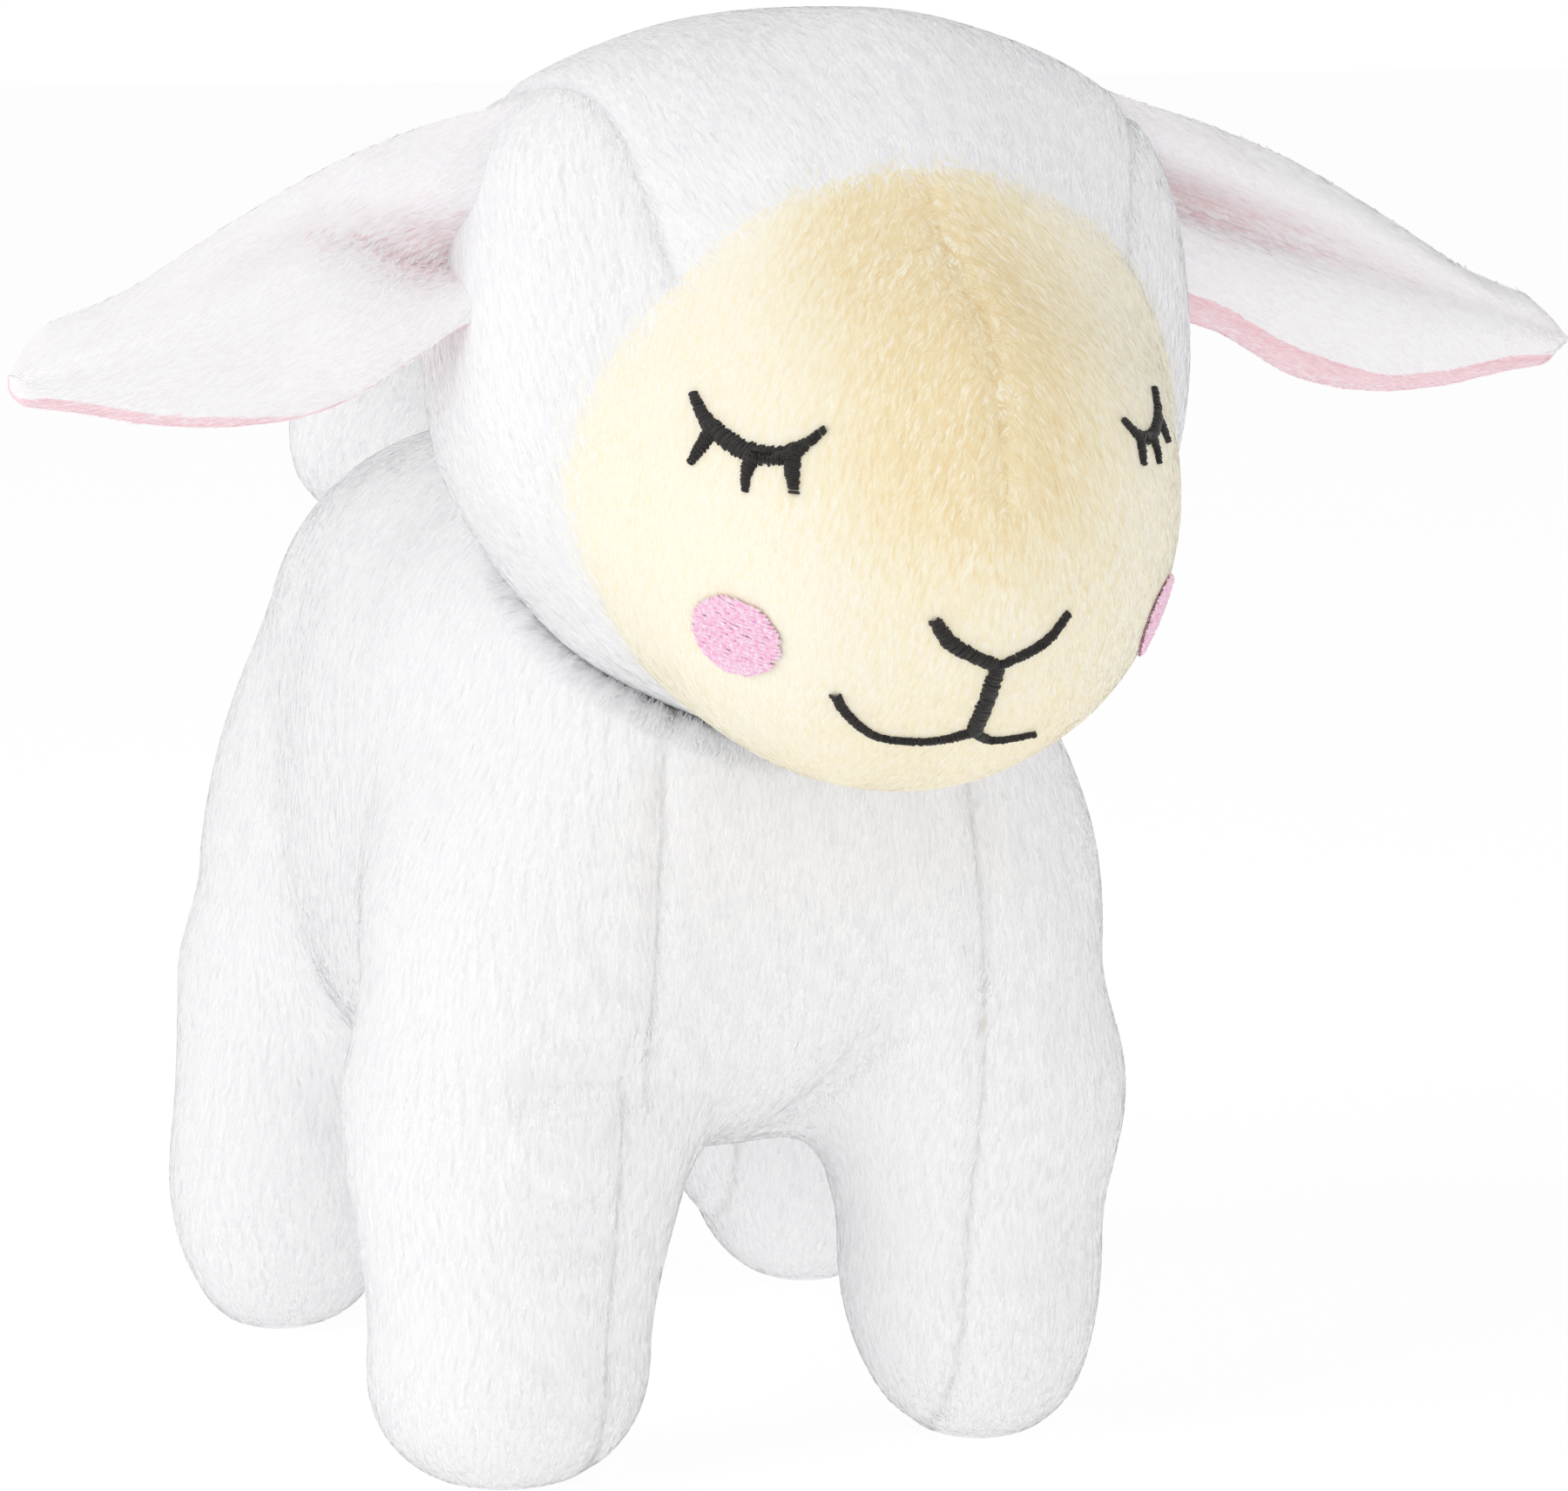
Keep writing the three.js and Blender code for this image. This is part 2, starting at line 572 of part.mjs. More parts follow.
/** The lower outline of a leg: a rounded foot and a taper up to the hip. */
function footOutline(leg, grow) {
  const heights = [
    ...FOOT_STATIONS.map((share) => THREE.MathUtils.lerp(-grow, FOOT_ROUND, share)),
    ...SHIN_STATIONS.map((share) => THREE.MathUtils.lerp(FOOT_ROUND, HIP_Z, share)),
  ];
  const outline = heights.map((z) => new THREE.Vector2(legRadius(leg, z, grow), z));
  return [new THREE.Vector2(0, -grow), ...outline];
}

/** The outside of a leg's cloth. */
function legForm(leg) {
  return roundLeg(leg, [...footOutline(leg, 0), ...hipOutline(leg, 0, HIP_STEP)], LEG_FACES);
}

/** The space inside a leg's cloth, a given depth below its outside. */
function legInside(leg, depth) {
  const outline = [...footOutline(leg, -depth), ...hipOutline(leg, -depth, HIP_FILL_STEP)];
  return roundLeg(leg, outline, LEG_FILL_FACES);
}

/** Room for a leg that swings: a ball at the hip and an opening cone under it. */
function legRoom(leg) {
  const grow = roundAbout(HIP_RADIUS + SEAM_GAP, [LEG_FACES, 180 / HIP_STEP]) - HIP_RADIUS;
  const mouth = HIP_RADIUS + grow + HIP_Z * Math.tan(LEG_SWING * DEGREE);
  const cone = [new THREE.Vector2(0, 0), new THREE.Vector2(mouth, 0)];
  return roundLeg(leg, [...cone, ...hipOutline(leg, grow, HIP_STEP)], LEG_FACES);
}

/** Radius of a faceted ball that holds a true ball of a given radius. */
function roundAbout(radius, faces) {
  return radius / (Math.cos(Math.PI / faces[0]) * Math.cos(Math.PI / faces[1] / 2));
}

// The neck: the head's ball sits in a hollow of the body, sewn on by a ring of thread
const neckAxis = at(0, Math.sin(NECK_TILT * DEGREE), -Math.cos(NECK_TILT * DEGREE));
const neckRingReach = Math.sqrt((SKULL_RADIUS + JOINT_GAP + THREAD_RADIUS) ** 2 - NECK_RING_RADIUS ** 2);

/** The ring of thread round the neck. */
function neckRing() {
  const [around, section] = RING_FACES;
  const ring = new THREE.TorusGeometry(NECK_RING_RADIUS, THREAD_RADIUS, section, around);
  ring.applyQuaternion(new THREE.Quaternion().setFromUnitVectors(upright, neckAxis));
  const middle = headCentre.clone().addScaledVector(neckAxis, neckRingReach);
  return solid(ring.translate(middle.x, middle.y, middle.z));
}

/** Room for the whole head at one end of its nod and turn. */
function headRoom(nod, turn) {
  const grow = roundAbout(SKULL_RADIUS + JOINT_GAP, FORM_FACES) - SKULL_RADIUS;
  const faced = turned(skinGeometry(head, grow, FORM_FACES), headCentre, neckAxis, turn);
  return solid(turned(faced, headCentre, across, nod));
}

/** Room for the ball of the skull, with a given clearance. */
function skullRoom(clearance) {
  const ball = new THREE.SphereGeometry(roundAbout(SKULL_RADIUS + clearance, FORM_FACES), ...FORM_FACES);
  return solid(ball.translate(headCentre.x, headCentre.y, headCentre.z));
}

// Room in the body for what moves against it: the legs, the head, and the thread round the skull
const threadRoom = skullRoom(2 * (THREAD_RADIUS + JOINT_GAP));
const room = [
  ...legs.map(legRoom),
  ...[-HEAD_TURN, 0, HEAD_TURN].map((turn) => headRoom(HEAD_NOD, turn)),
].reduce((whole, part) => whole.add(part), threadRoom);

const bodySkin = fabricShell(body, FORM_FACES).subtract(room);

/** The space of the chest panel, which narrows upward; smaller by a given amount all round. */
function chestSpace(inset) {
  const foot = CHEST_HALF_WIDTH - inset;
  const top = CHEST_TOP_HALF_WIDTH - inset;
  const wedge = new THREE.Shape([
    new THREE.Vector2(-foot, BELLY_SEAM_Z + inset),
    new THREE.Vector2(foot, BELLY_SEAM_Z + inset),
    new THREE.Vector2(top, HEAD_Z),
    new THREE.Vector2(-top, HEAD_Z),
  ]);
  const column = new THREE.ExtrudeGeometry(wedge, { depth: EXTENT, bevelEnabled: false });
  return solid(column.rotateX(Math.PI / 2).translate(0, CHEST_BACK - inset, 0));
}

/** The space under the belly seam, lower by a given amount. */
function bellySpace(inset) {
  return block(at(-EXTENT, -EXTENT, -EXTENT), at(EXTENT, EXTENT, BELLY_SEAM_Z - inset));
}

const flanks = bodySkin.subtract(chestSpace(-SEAM_GAP / 2)).subtract(bellySpace(-SEAM_GAP / 2));
addPiece('body_side_left', flanks.intersect(sideOf(SEAM_GAP / 2, 1)), whitePlush);
addPiece('body_side_right', flanks.intersect(sideOf(-SEAM_GAP / 2, -1)), whitePlush);
addPiece('chest_panel', bodySkin.intersect(chestSpace(SEAM_GAP / 2)), whitePlush);
addPiece('belly_panel', bodySkin.intersect(bellySpace(SEAM_GAP / 2)), whitePlush);
addPiece('body_stuffing', filling(body, FORM_FACES).subtract(room), stuffing);
addPiece('neck_seam_thread', neckRing(), whiteThread);

// Legs: an outer and an inner panel round a core of stuffing
for (const leg of legs) {
  const skin = legForm(leg).subtract(legInside(leg, FABRIC));
  const seam = leg.side * (leg.hipX - LEG_SEAM_INSET) + leg.sway;
  const outer = sideOf(seam + leg.side * SEAM_GAP / 2, leg.side);
  const inner = sideOf(seam - leg.side * SEAM_GAP / 2, -leg.side);
  addPiece(`${leg.name}_leg_outer`, skin.intersect(outer), whitePlush);
  addPiece(`${leg.name}_leg_inner`, skin.intersect(inner), whitePlush);
  addPiece(`${leg.name}_leg_stuffing`, legInside(leg, FABRIC + FILL_GAP), stuffing);
}

// Tail: a small stuffed ball, hollowed where it meets the rump so that it can wag
const tailCentre = at(TAIL_X, TAIL_Y, TAIL_Z);
const tailRadii = at(TAIL_HALF_WIDTH, TAIL_HALF_LENGTH, TAIL_HALF_HEIGHT);
const tailRoot = at(TAIL_X, BODY_Y, TAIL_Z - TAIL_ROOT_DROP);
tailRoot.y += reachSurface(body, tailRoot.clone(), at(0, 1, 0), 0);
const tail = {
  centre: tailCentre,
  field(point) {
    const root = point.distanceTo(tailRoot) - TAIL_ROOT_RADIUS;
    return melt(lump(point, tailCentre, tailRadii, 2), root, TAIL_BLEND);
  },
};
const rump = sweep(skinGeometry(body, JOINT_GAP, FORM_FACES), tailRoot, upright, TAIL_WAG);
const tailSkin = fabricShell(tail, TAIL_FACES).subtract(rump);
const tailSide = (side) => sideOf(TAIL_X + side * SEAM_GAP / 2, side);
addPiece('tail_cover_left', tailSkin.intersect(tailSide(1)), whitePlush);
addPiece('tail_cover_right', tailSkin.intersect(tailSide(-1)), whitePlush);
addPiece('tail_stuffing', filling(tail, TAIL_FACES).subtract(rump), stuffing);

// Where the pieces move: the axis, a point on it and the range each way in degrees
lamb.userData.joints = {
  head_nod: { pivot: headCentre, axis: across, range: HEAD_NOD },
  head_turn: { pivot: headCentre, axis: neckAxis, range: HEAD_TURN },
  ear_left_flap: { pivot: earRoot(1).middle, axis: earRoot(1).upward, range: EAR_FLAP },
  ear_right_flap: { pivot: earRoot(-1).middle, axis: earRoot(-1).upward, range: EAR_FLAP },
  tail_wag: { pivot: tailRoot, axis: upright, range: TAIL_WAG },
};
for (const leg of legs) {
  const hip = at(leg.side * leg.hipX + leg.sway, leg.y, HIP_Z);
  lamb.userData.joints[`${leg.name}_leg_swing`] = { pivot: hip, axis: across, range: LEG_SWING };
}

export default lamb;
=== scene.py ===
"""Looks of the plush lamb: sewn plush panels with their pile, stitching, stuffing and a plain studio.

Lengths in the classes are millimetres in the part's own frame. Meshes are written in metres.
"""

import json
import logging
import math
from dataclasses import dataclass, field
from enum import Enum
from typing import Callable

import bpy
import numpy as np
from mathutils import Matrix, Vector


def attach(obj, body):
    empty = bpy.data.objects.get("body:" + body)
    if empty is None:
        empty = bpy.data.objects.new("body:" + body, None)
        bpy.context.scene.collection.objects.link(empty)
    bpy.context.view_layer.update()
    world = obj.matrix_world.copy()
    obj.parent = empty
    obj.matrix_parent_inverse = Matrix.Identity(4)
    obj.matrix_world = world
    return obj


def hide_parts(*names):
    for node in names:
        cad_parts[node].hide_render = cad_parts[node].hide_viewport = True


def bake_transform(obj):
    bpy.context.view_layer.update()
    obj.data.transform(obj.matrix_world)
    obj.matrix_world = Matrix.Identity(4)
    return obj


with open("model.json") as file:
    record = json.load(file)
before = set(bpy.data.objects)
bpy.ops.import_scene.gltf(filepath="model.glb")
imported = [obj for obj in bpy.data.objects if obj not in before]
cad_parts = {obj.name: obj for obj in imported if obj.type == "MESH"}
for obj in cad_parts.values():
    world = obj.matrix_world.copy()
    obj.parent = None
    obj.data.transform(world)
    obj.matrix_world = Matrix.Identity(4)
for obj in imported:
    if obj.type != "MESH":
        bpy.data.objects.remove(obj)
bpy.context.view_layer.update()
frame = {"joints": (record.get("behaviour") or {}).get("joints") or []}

MM = 0.001
Array = np.ndarray
Pair = tuple[float, float]
Triple = tuple[float, float, float]
Field = Callable[[Array], Array]
JOINTS = {joint["name"]: joint for joint in frame["joints"]}
log = logging.getLogger("plush_lamb")


class Side(Enum):
    """The lamb's own left and right, with the sign of X there."""

    LEFT = 1
    RIGHT = -1

    @property
    def word(self) -> str:
        """The side's name as the nodes spell it."""
        return self.name.lower()


def pivot(joint: str) -> Array:
    """A joint's point in millimetres."""
    return np.array(JOINTS[joint]["pos_m"], float) / MM


def axis(joint: str) -> Array:
    """A joint's direction."""
    return np.array(JOINTS[joint]["axis"], float)


# Soft forms as fields: below zero inside, zero on the cloth


def lump(points: Array, centre: Array, radii: Array, power: float) -> Array:
    """How far points lie outside a rounded lump.

    Args:
        points: places, one a row.
        centre: middle of the lump.
        radii: half sizes along X, Y and Z.
        power: 2 for an ellipsoid, more for a squarer lump.

    Returns:
        Distances, below zero inside.
    """
    offset = points - centre
    share = np.maximum((np.abs(offset / radii) ** power).sum(1) ** (1 / power), 1e-9)
    return np.linalg.norm(offset, axis=1) * (1 - 1 / share)


def melt(a: Array, b: Array, width: float) -> Array:
    """Joins two fields with a soft hollow instead of a crease.

    Args:
        a: values of one field.
        b: values of the other.
        width: how far the joint spreads.

    Returns:
        Values of the joined field.
    """
    overlap = np.maximum(width - np.abs(a - b), 0) / width
    return np.minimum(a, b) - overlap**2 * width / 4


def ease(value: Array) -> Array:
    """Rises smoothly from 0 to 1 as the value goes from 0 to 1."""
    t = np.clip(value, 0, 1)
    return t * t * (3 - 2 * t)


def lerp(a: float, b: float, share: Array) -> Array:
    """The value a given share of the way from a to b."""
    return a + (b - a) * share


def unit(vectors: Array) -> Array:
    """Vectors scaled to length 1."""
    return vectors / np.maximum(np.linalg.norm(vectors, axis=-1, keepdims=True), 1e-12)


def gradient(form: Field, points: Array, step: float = 0.05) -> Array:
    """Steepest rise of a field at each point.

    Args:
        form: the field.
        points: places, one a row.
        step: half the distance over which the rise is taken.

    Returns:
        One vector a point.
    """
    rises = [form(points + step * way) - form(points - step * way) for way in np.eye(3)]
    return np.stack(rises, 1) / (2 * step)


def settle(form: Field, points: Array, rounds: int = 4, reach: float = 1.5) -> Array:
    """Moves points straight onto a field's surface.

    Args:
        form: the field.
        points: places near the surface.
        rounds: how often the move is repeated.
        reach: longest move in one round.

    Returns:
        Places on the surface.
    """
    for _ in range(rounds):
        rise = gradient(form, points)
        pull = form(points) / np.maximum((rise**2).sum(1), 0.05)
        points = points - np.clip(pull, -reach, reach)[:, None] * rise
    return points


def ripple(points: Array, wavelength: float, seed: int, waves: int = 7) -> Array:
    """Smooth unevenness that repeats nowhere on the toy.

    Args:
        points: places, one a row.
        wavelength: usual distance between two crests.
        seed: picks the pattern.
        waves: how many waves are summed.

    Returns:
        Values mostly between -1 and 1.
    """
    draw = np.random.default_rng(seed)
    ways = unit(draw.normal(size=(waves, 3))) * draw.uniform(0.7, 1.4, (waves, 1))
    turns = points @ ways.T * (2 * math.pi / wavelength) + draw.uniform(0, 2 * math.pi, waves)
    return np.sin(turns).sum(1) / math.sqrt(waves)


def bell(distance: Array, width: Array | float) -> Array:
    """1 at no distance, and near 0 beyond the width."""
    return np.exp(-((distance / width) ** 2))


def groove(distance: Array, width: float, depth: float) -> Array:
    """How far a sewn seam draws the cloth in at a distance from it."""
    return depth * bell(distance, width)


# Meshes


@dataclass
class Skin:
    """A surface of quads or triangles."""

    points: Array
    faces: Array

    def normals(self) -> Array:
        """Outward directions at the points, for a mesh of quads.

        Returns:
            One direction a point.
        """
        corners = self.points[self.faces]
        facing = np.cross(corners[:, 2] - corners[:, 0], corners[:, 3] - corners[:, 1])
        total = np.zeros_like(self.points)
        for corner in range(4):
            np.add.at(total, self.faces[:, corner], facing)
        return unit(total)

    def beside(self) -> Array:
        """The four faces that share each face's edges, for a closed mesh of quads.

        Returns:
            Four rows of face numbers, one for each edge of the faces.
        """
        pairs = np.concatenate([np.sort(self.faces[:, [k, (k + 1) % 4]], 1) for k in range(4)])
        order = np.lexsort(pairs.T)
        other = np.empty(len(pairs), int)
        other[order[0::2]], other[order[1::2]] = order[1::2], order[0::2]
        return (other % len(self.faces)).reshape(4, -1)

    def part(self, chosen: Array) -> "Skin":
        """The faces that are chosen, with their own points only.

        Args:
            chosen: whether each face is kept.

        Returns:
            The smaller mesh.
        """
        faces = self.faces[chosen]
        used, inverse = np.unique(faces, return_inverse=True)
        return Skin(self.points[used], inverse.reshape(faces.shape))

    def scatter(self, density: float, draw: np.random.Generator) -> tuple[Array, Array]:
        """Random places, evenly spread over a surface of quads.

        Args:
            density: places per square millimetre.
            draw: the random source.

        Returns:
            Places and their outward directions.
        """
        a, b, c, d = self.faces.T
        triangles = np.concatenate([np.stack([a, b, c], 1), np.stack([a, c, d], 1)])
        corners = self.points[triangles]
        sizes = np.linalg.norm(
            np.cross(corners[:, 1] - corners[:, 0], corners[:, 2] - corners[:, 0]), axis=1
        ) / 2
        ends = np.cumsum(sizes)
        count = int(ends[-1] * density)
        picked = np.minimum(np.searchsorted(ends, draw.uniform(0, ends[-1], count)), len(ends) - 1)
        u, v = draw.uniform(size=(2, count))
        u, v = np.where(u + v > 1, 1 - u, u), np.where(u + v > 1, 1 - v, v)
        weights = np.stack([1 - u - v, u, v], 1)[:, :, None]
        chosen = triangles[picked]
        normals = self.normals()
        return (self.points[chosen] * weights).sum(1), unit((normals[chosen] * weights).sum(1))


def surface_net(form: Field, low: Array, high: Array, cell: float, rough: Field | None = None) -> Skin:
    """A closed mesh of even quads over a field's surface.

    Args:
        form: the field.
        low: lowest corner of the room that holds the surface.
        high: highest corner.
        cell: size of the quads.
        rough: a quicker field close to it, that places the quads before they settle.

    Returns:
        The mesh, with its points on the surface.
    """
    counts = np.ceil((high - low) / cell).astype(int) + 1
    ticks = [low[k] + cell * np.arange(counts[k]) for k in range(3)]
    grid = np.stack(np.meshgrid(*ticks, indexing="ij"), -1)
    value = (rough or form)(grid.reshape(-1, 3)).reshape(counts)
    cells = counts - 1
    total = np.zeros((*cells, 3))
    hits = np.zeros(cells)
    crossings = []
    for along in range(3):
        near = np.take(value, range(cells[along]), along)
        far = np.take(value, range(1, counts[along]), along)
        crossed = (near < 0) != (far < 0)
        share = np.where(crossed, near / np.where(crossed, near - far, 1), 0)
        place = np.take(grid, range(cells[along]), along).copy()
        place[..., along] += share * cell
        others = [k for k in range(3) if k != along]
        for first in (0, 1):
            for second in (0, 1):
                window = [slice(None)] * 3
                window[others[0]] = slice(first, first + cells[others[0]])
                window[others[1]] = slice(second, second + cells[others[1]])
                mask = crossed[tuple(window)]
                total += place[tuple(window)] * mask[..., None]
                hits += mask
        crossings.append((along, others, crossed, near < 0))
    used = hits > 0
    number = np.full(cells, -1)
    number[used] = np.arange(used.sum())
    points = total[used] / hits[used][:, None]
    faces = []
    for along, others, crossed, inward in crossings:
        spots = np.argwhere(crossed)
        inner = (spots[:, others[0]] > 0) & (spots[:, others[1]] > 0)
        inner &= (spots[:, others[0]] < cells[others[0]]) & (spots[:, others[1]] < cells[others[1]])
        spots = spots[inner]
        ring = []
        for first, second in ((1, 1), (0, 1), (0, 0), (1, 0)):
            shifted = spots.copy()
            shifted[:, others[0]] -= first
            shifted[:, others[1]] -= second
            ring.append(number[tuple(shifted.T)])
        quads = np.stack(ring, 1)
        flip = inward[tuple(spots.T)] == (along == 1)
        quads[flip] = quads[flip][:, ::-1]
        faces.append(quads)
    return even_out(Skin(points, np.concatenate(faces)), form)


def even_out(skin: Skin, form: Field, rounds: int = 3, pinned: Array | None = None) -> Skin:
    """Spaces a mesh's points evenly along a field's surface.

    Args:
        skin: the mesh.
        form: the field whose surface it follows.
        rounds: how often the points are spaced out.
        pinned: numbers of points that stay where they are.

    Returns:
        The mesh with its points moved.
    """
    points = settle(form, skin.points)
    for _ in range(rounds):
        total = np.zeros_like(points)
        share = np.zeros(len(points))
        for corner in range(4):
            start, stop = skin.faces[:, corner], skin.faces[:, (corner + 1) % 4]
            np.add.at(total, start, points[stop])
            np.add.at(total, stop, points[start])
            np.add.at(share, start, 1)
            np.add.at(share, stop, 1)
        moved = settle(form, (points + total / share[:, None]) / 2, 2)
        if pinned is not None:
            moved[pinned] = points[pinned]
        points = moved
    return Skin(points, skin.faces)


def cut_panels(skin: Skin, label: Field, form: Field, halvings: int = 14) -> Array:
    """Finds each panel's faces and moves the points between two panels onto their seam.

    Args:
        skin: the whole mesh, whose seam points are moved.
        label: gives each place the number of its panel.
        form: the field whose surface the mesh follows.
        halvings: how often the search for a seam halves its step.

    Returns:
        The panel number of each face.
    """
    centres = skin.points[skin.faces].mean(1)
    labels = label(centres)
    beside = skin.beside()
    for _ in range(2):
        around = labels[beside]
        lonely = (around != labels).sum(0) > 2
        labels[lonely] = np.sort(around[:, lonely], 0)[1]
    order = len(labels)
    rank = labels * order + np.arange(order)
    least = np.full(len(skin.points), rank.max())
    most = np.zeros(len(skin.points), int)
    for corner in range(4):
        np.minimum.at(least, skin.faces[:, corner], rank)
        np.maximum.at(most, skin.faces[:, corner], rank)
    seam = np.flatnonzero(least // order != most // order)
    near, far = centres[least[seam] % order], centres[most[seam] % order]
    first = least[seam] // order
    for _ in range(halvings):
        middle = (near + far) / 2
        same = (label(middle) == first)[:, None]
        near, far = np.where(same, middle, near), np.where(same, far, middle)
    skin.points[seam] = (near + far) / 2
    smooth_seams(skin, labels)
    skin.points[seam] = settle(form, skin.points[seam], 2)
    skin.points = even_out(skin, form, 4, seam).points
    return labels


def smooth_seams(skin: Skin, labels: Array, rounds: int = 4) -> None:
    """Spaces the points of each seam evenly along it.

    Args:
        skin: the whole mesh, whose seam points are moved.
        labels: the panel number of each face.
        rounds: how often the points are spaced out.
    """
    border = labels < labels[skin.beside()]
    start = np.concatenate([skin.faces[border[k], k] for k in range(4)])
    stop = np.concatenate([skin.faces[border[k], (k + 1) % 4] for k in range(4)])
    for _ in range(rounds):
        total, share = np.zeros_like(skin.points), np.zeros(len(skin.points))
        for here, there in ((start, stop), (stop, start)):
            np.add.at(total, here, skin.points[there])
            np.add.at(share, here, 1)
        inner = share == 2
        skin.points[inner] = skin.points[inner] / 2 + total[inner] / 4


def link_mesh(name: str, skin: Skin, materials: list[bpy.types.Material]) -> bpy.types.Object:
    """Makes a smooth-shaded object from a mesh in millimetres.

    Args:
        name: the object's name.
        skin: the mesh.
        materials: its material slots.

    Returns:
        The object, linked to the scene.
    """
    mesh = bpy.data.meshes.new(name)
    sides = skin.faces.shape[1]
    mesh.vertices.add(len(skin.points))
    mesh.vertices.foreach_set("co", (skin.points * MM).astype(np.float32).ravel())
    mesh.loops.add(skin.faces.size)
    mesh.loops.foreach_set("vertex_index", skin.faces.astype(np.int32).ravel())
    mesh.polygons.add(len(skin.faces))
    mesh.polygons.foreach_set("loop_start", np.arange(0, skin.faces.size, sides, dtype=np.int32))
    mesh.update(calc_edges=True)
    mesh.shade_smooth()
    for material in materials:
        mesh.materials.append(material)
    piece = bpy.data.objects.new(name, mesh)
    bpy.context.scene.collection.objects.link(piece)
    return piece


def join(skins: list[Skin]) -> Skin:
    """Several meshes with equal faces as one.

    Args:
        skins: the meshes.

    Returns:
        One mesh with all their points and faces.
    """
    starts = np.cumsum([0] + [len(skin.points) for skin in skins[:-1]])
    faces = [skin.faces + start for skin, start in zip(skins, starts)]
    return Skin(np.concatenate([skin.points for skin in skins]), np.concatenate(faces))


def tube(route: Array, radii: Array, sides: int = 6, closed: bool = False) -> Skin:
    """A round cord along a route, with pointed ends unless it is closed.

    Args:
        route: places along the middle of the cord.
        radii: the cord's radius at each place.
        sides: faces round the cord.
        closed: whether the route ends where it starts.

    Returns:
        The cord's mesh.
    """
    ways = unit(np.gradient(route, axis=0))
    if closed:
        ways = unit(np.roll(route, -1, 0) - np.roll(route, 1, 0))
    upward = np.where(np.abs(ways[:, 2:3]) < 0.9, [[0.0, 0.0, 1.0]], [[1.0, 0.0, 0.0]])
    across = unit(np.cross(ways, upward))
    above = np.cross(across, ways)
    turns = np.arange(sides) * 2 * math.pi / sides
    ring = across[:, None] * np.cos(turns)[:, None] + above[:, None] * np.sin(turns)[:, None]
    points = (route[:, None] + ring * np.asarray(radii)[:, None, None]).reshape(-1, 3)
    spans = len(route) if closed else len(route) - 1
    row, column = np.meshgrid(np.arange(spans), np.arange(sides), indexing="ij")
    after, beside = (row + 1) % len(route), (column + 1) % sides
    quads = [row * sides + column, after * sides + column, after * sides + beside, row * sides + beside]
    return Skin(points, np.stack(quads, -1).reshape(-1, 4))


# Finishes


def linear(colour: str) -> tuple[float, float, float, float]:
    """An sRGB hex colour as linear red, green, blue and alpha.

    Args:
        colour: such as #FFFFFF.

    Returns:
        Four shares from 0 to 1.
    """
    parts = [int(colour[k:k + 2], 16) / 255 for k in (1, 3, 5)]
    shares = [c / 12.92 if c <= 0.04045 else ((c + 0.055) / 1.055) ** 2.4 for c in parts]
    return (*shares, 1.0)


def add_node(tree: bpy.types.NodeTree, kind: str, settings: dict, links: dict) -> bpy.types.Node:
    """Adds a node with its settings and links.

    Args:
        tree: the material's or world's nodes.
        kind: the node's type.
        settings: values by socket name or by property name.
        links: source sockets by the name of the socket they feed.

    Returns:
        The node.
    """
    node = tree.nodes.new(kind)
    for key, value in settings.items():
        if key in node.inputs:
            node.inputs[key].default_value = value
        else:
            setattr(node, key, value)
    for key, source in links.items():
        tree.links.new(source, node.inputs[key])
    return node


def blank_material(name: str) -> tuple[bpy.types.Material, bpy.types.NodeTree]:
    """A new material with empty nodes.

    Args:
        name: the material's name.

    Returns:
        The material and its nodes.
    """
    material = bpy.data.materials.new(name)
    material.use_nodes = True
    material.node_tree.nodes.clear()
    return material, material.node_tree


@dataclass(frozen=True)
class Mottled:
    """A surface of two close tones that mix in soft patches, with fine relief.

    Knitted polyester backing under a pile, spun thread and loose fibre filling all look so:
    matt, with a faint sheen at grazing angles.
    """

    name: str
    light: str
    deep: str
    patch_mm: float
    grain_mm: float
    relief_mm: float
    roughness: float
    sheen: float

    def make(self) -> bpy.types.Material:
        """Builds the material.

        Returns:
            The material.
        """
        material, tree = blank_material(self.name)
        place = add_node(tree, "ShaderNodeTexCoord", {}, {}).outputs["Object"]
        patches = add_node(
            tree, "ShaderNodeTexNoise", {"Scale": 1 / (self.patch_mm * MM), "Detail": 3.0},
            {"Vector": place},
        )
        tones = add_node(tree, "ShaderNodeValToRGB", {}, {"Fac": patches.outputs["Fac"]})
        tones.color_ramp.elements[0].position, tones.color_ramp.elements[1].position = 0.3, 0.7
        tones.color_ramp.elements[0].color = linear(self.deep)
        tones.color_ramp.elements[1].color = linear(self.light)
        grain = add_node(
            tree, "ShaderNodeTexNoise", {"Scale": 1 / (self.grain_mm * MM), "Detail": 2.0},
            {"Vector": place},
        )
        relief = add_node(
            tree, "ShaderNodeBump", {"Strength": 0.6, "Distance": self.relief_mm * MM},
            {"Height": grain.outputs["Fac"]},
        )
        surface = add_node(
            tree, "ShaderNodeBsdfPrincipled",
            {"Roughness": self.roughness, "Sheen Weight": self.sheen, "Sheen Roughness": 0.5,
             "Specular IOR Level": 0.25},
            {"Base Color": tones.outputs["Color"], "Normal": relief.outputs["Normal"]},
        )
        add_node(tree, "ShaderNodeOutputMaterial", {}, {"Surface": surface.outputs["BSDF"]})
        return material


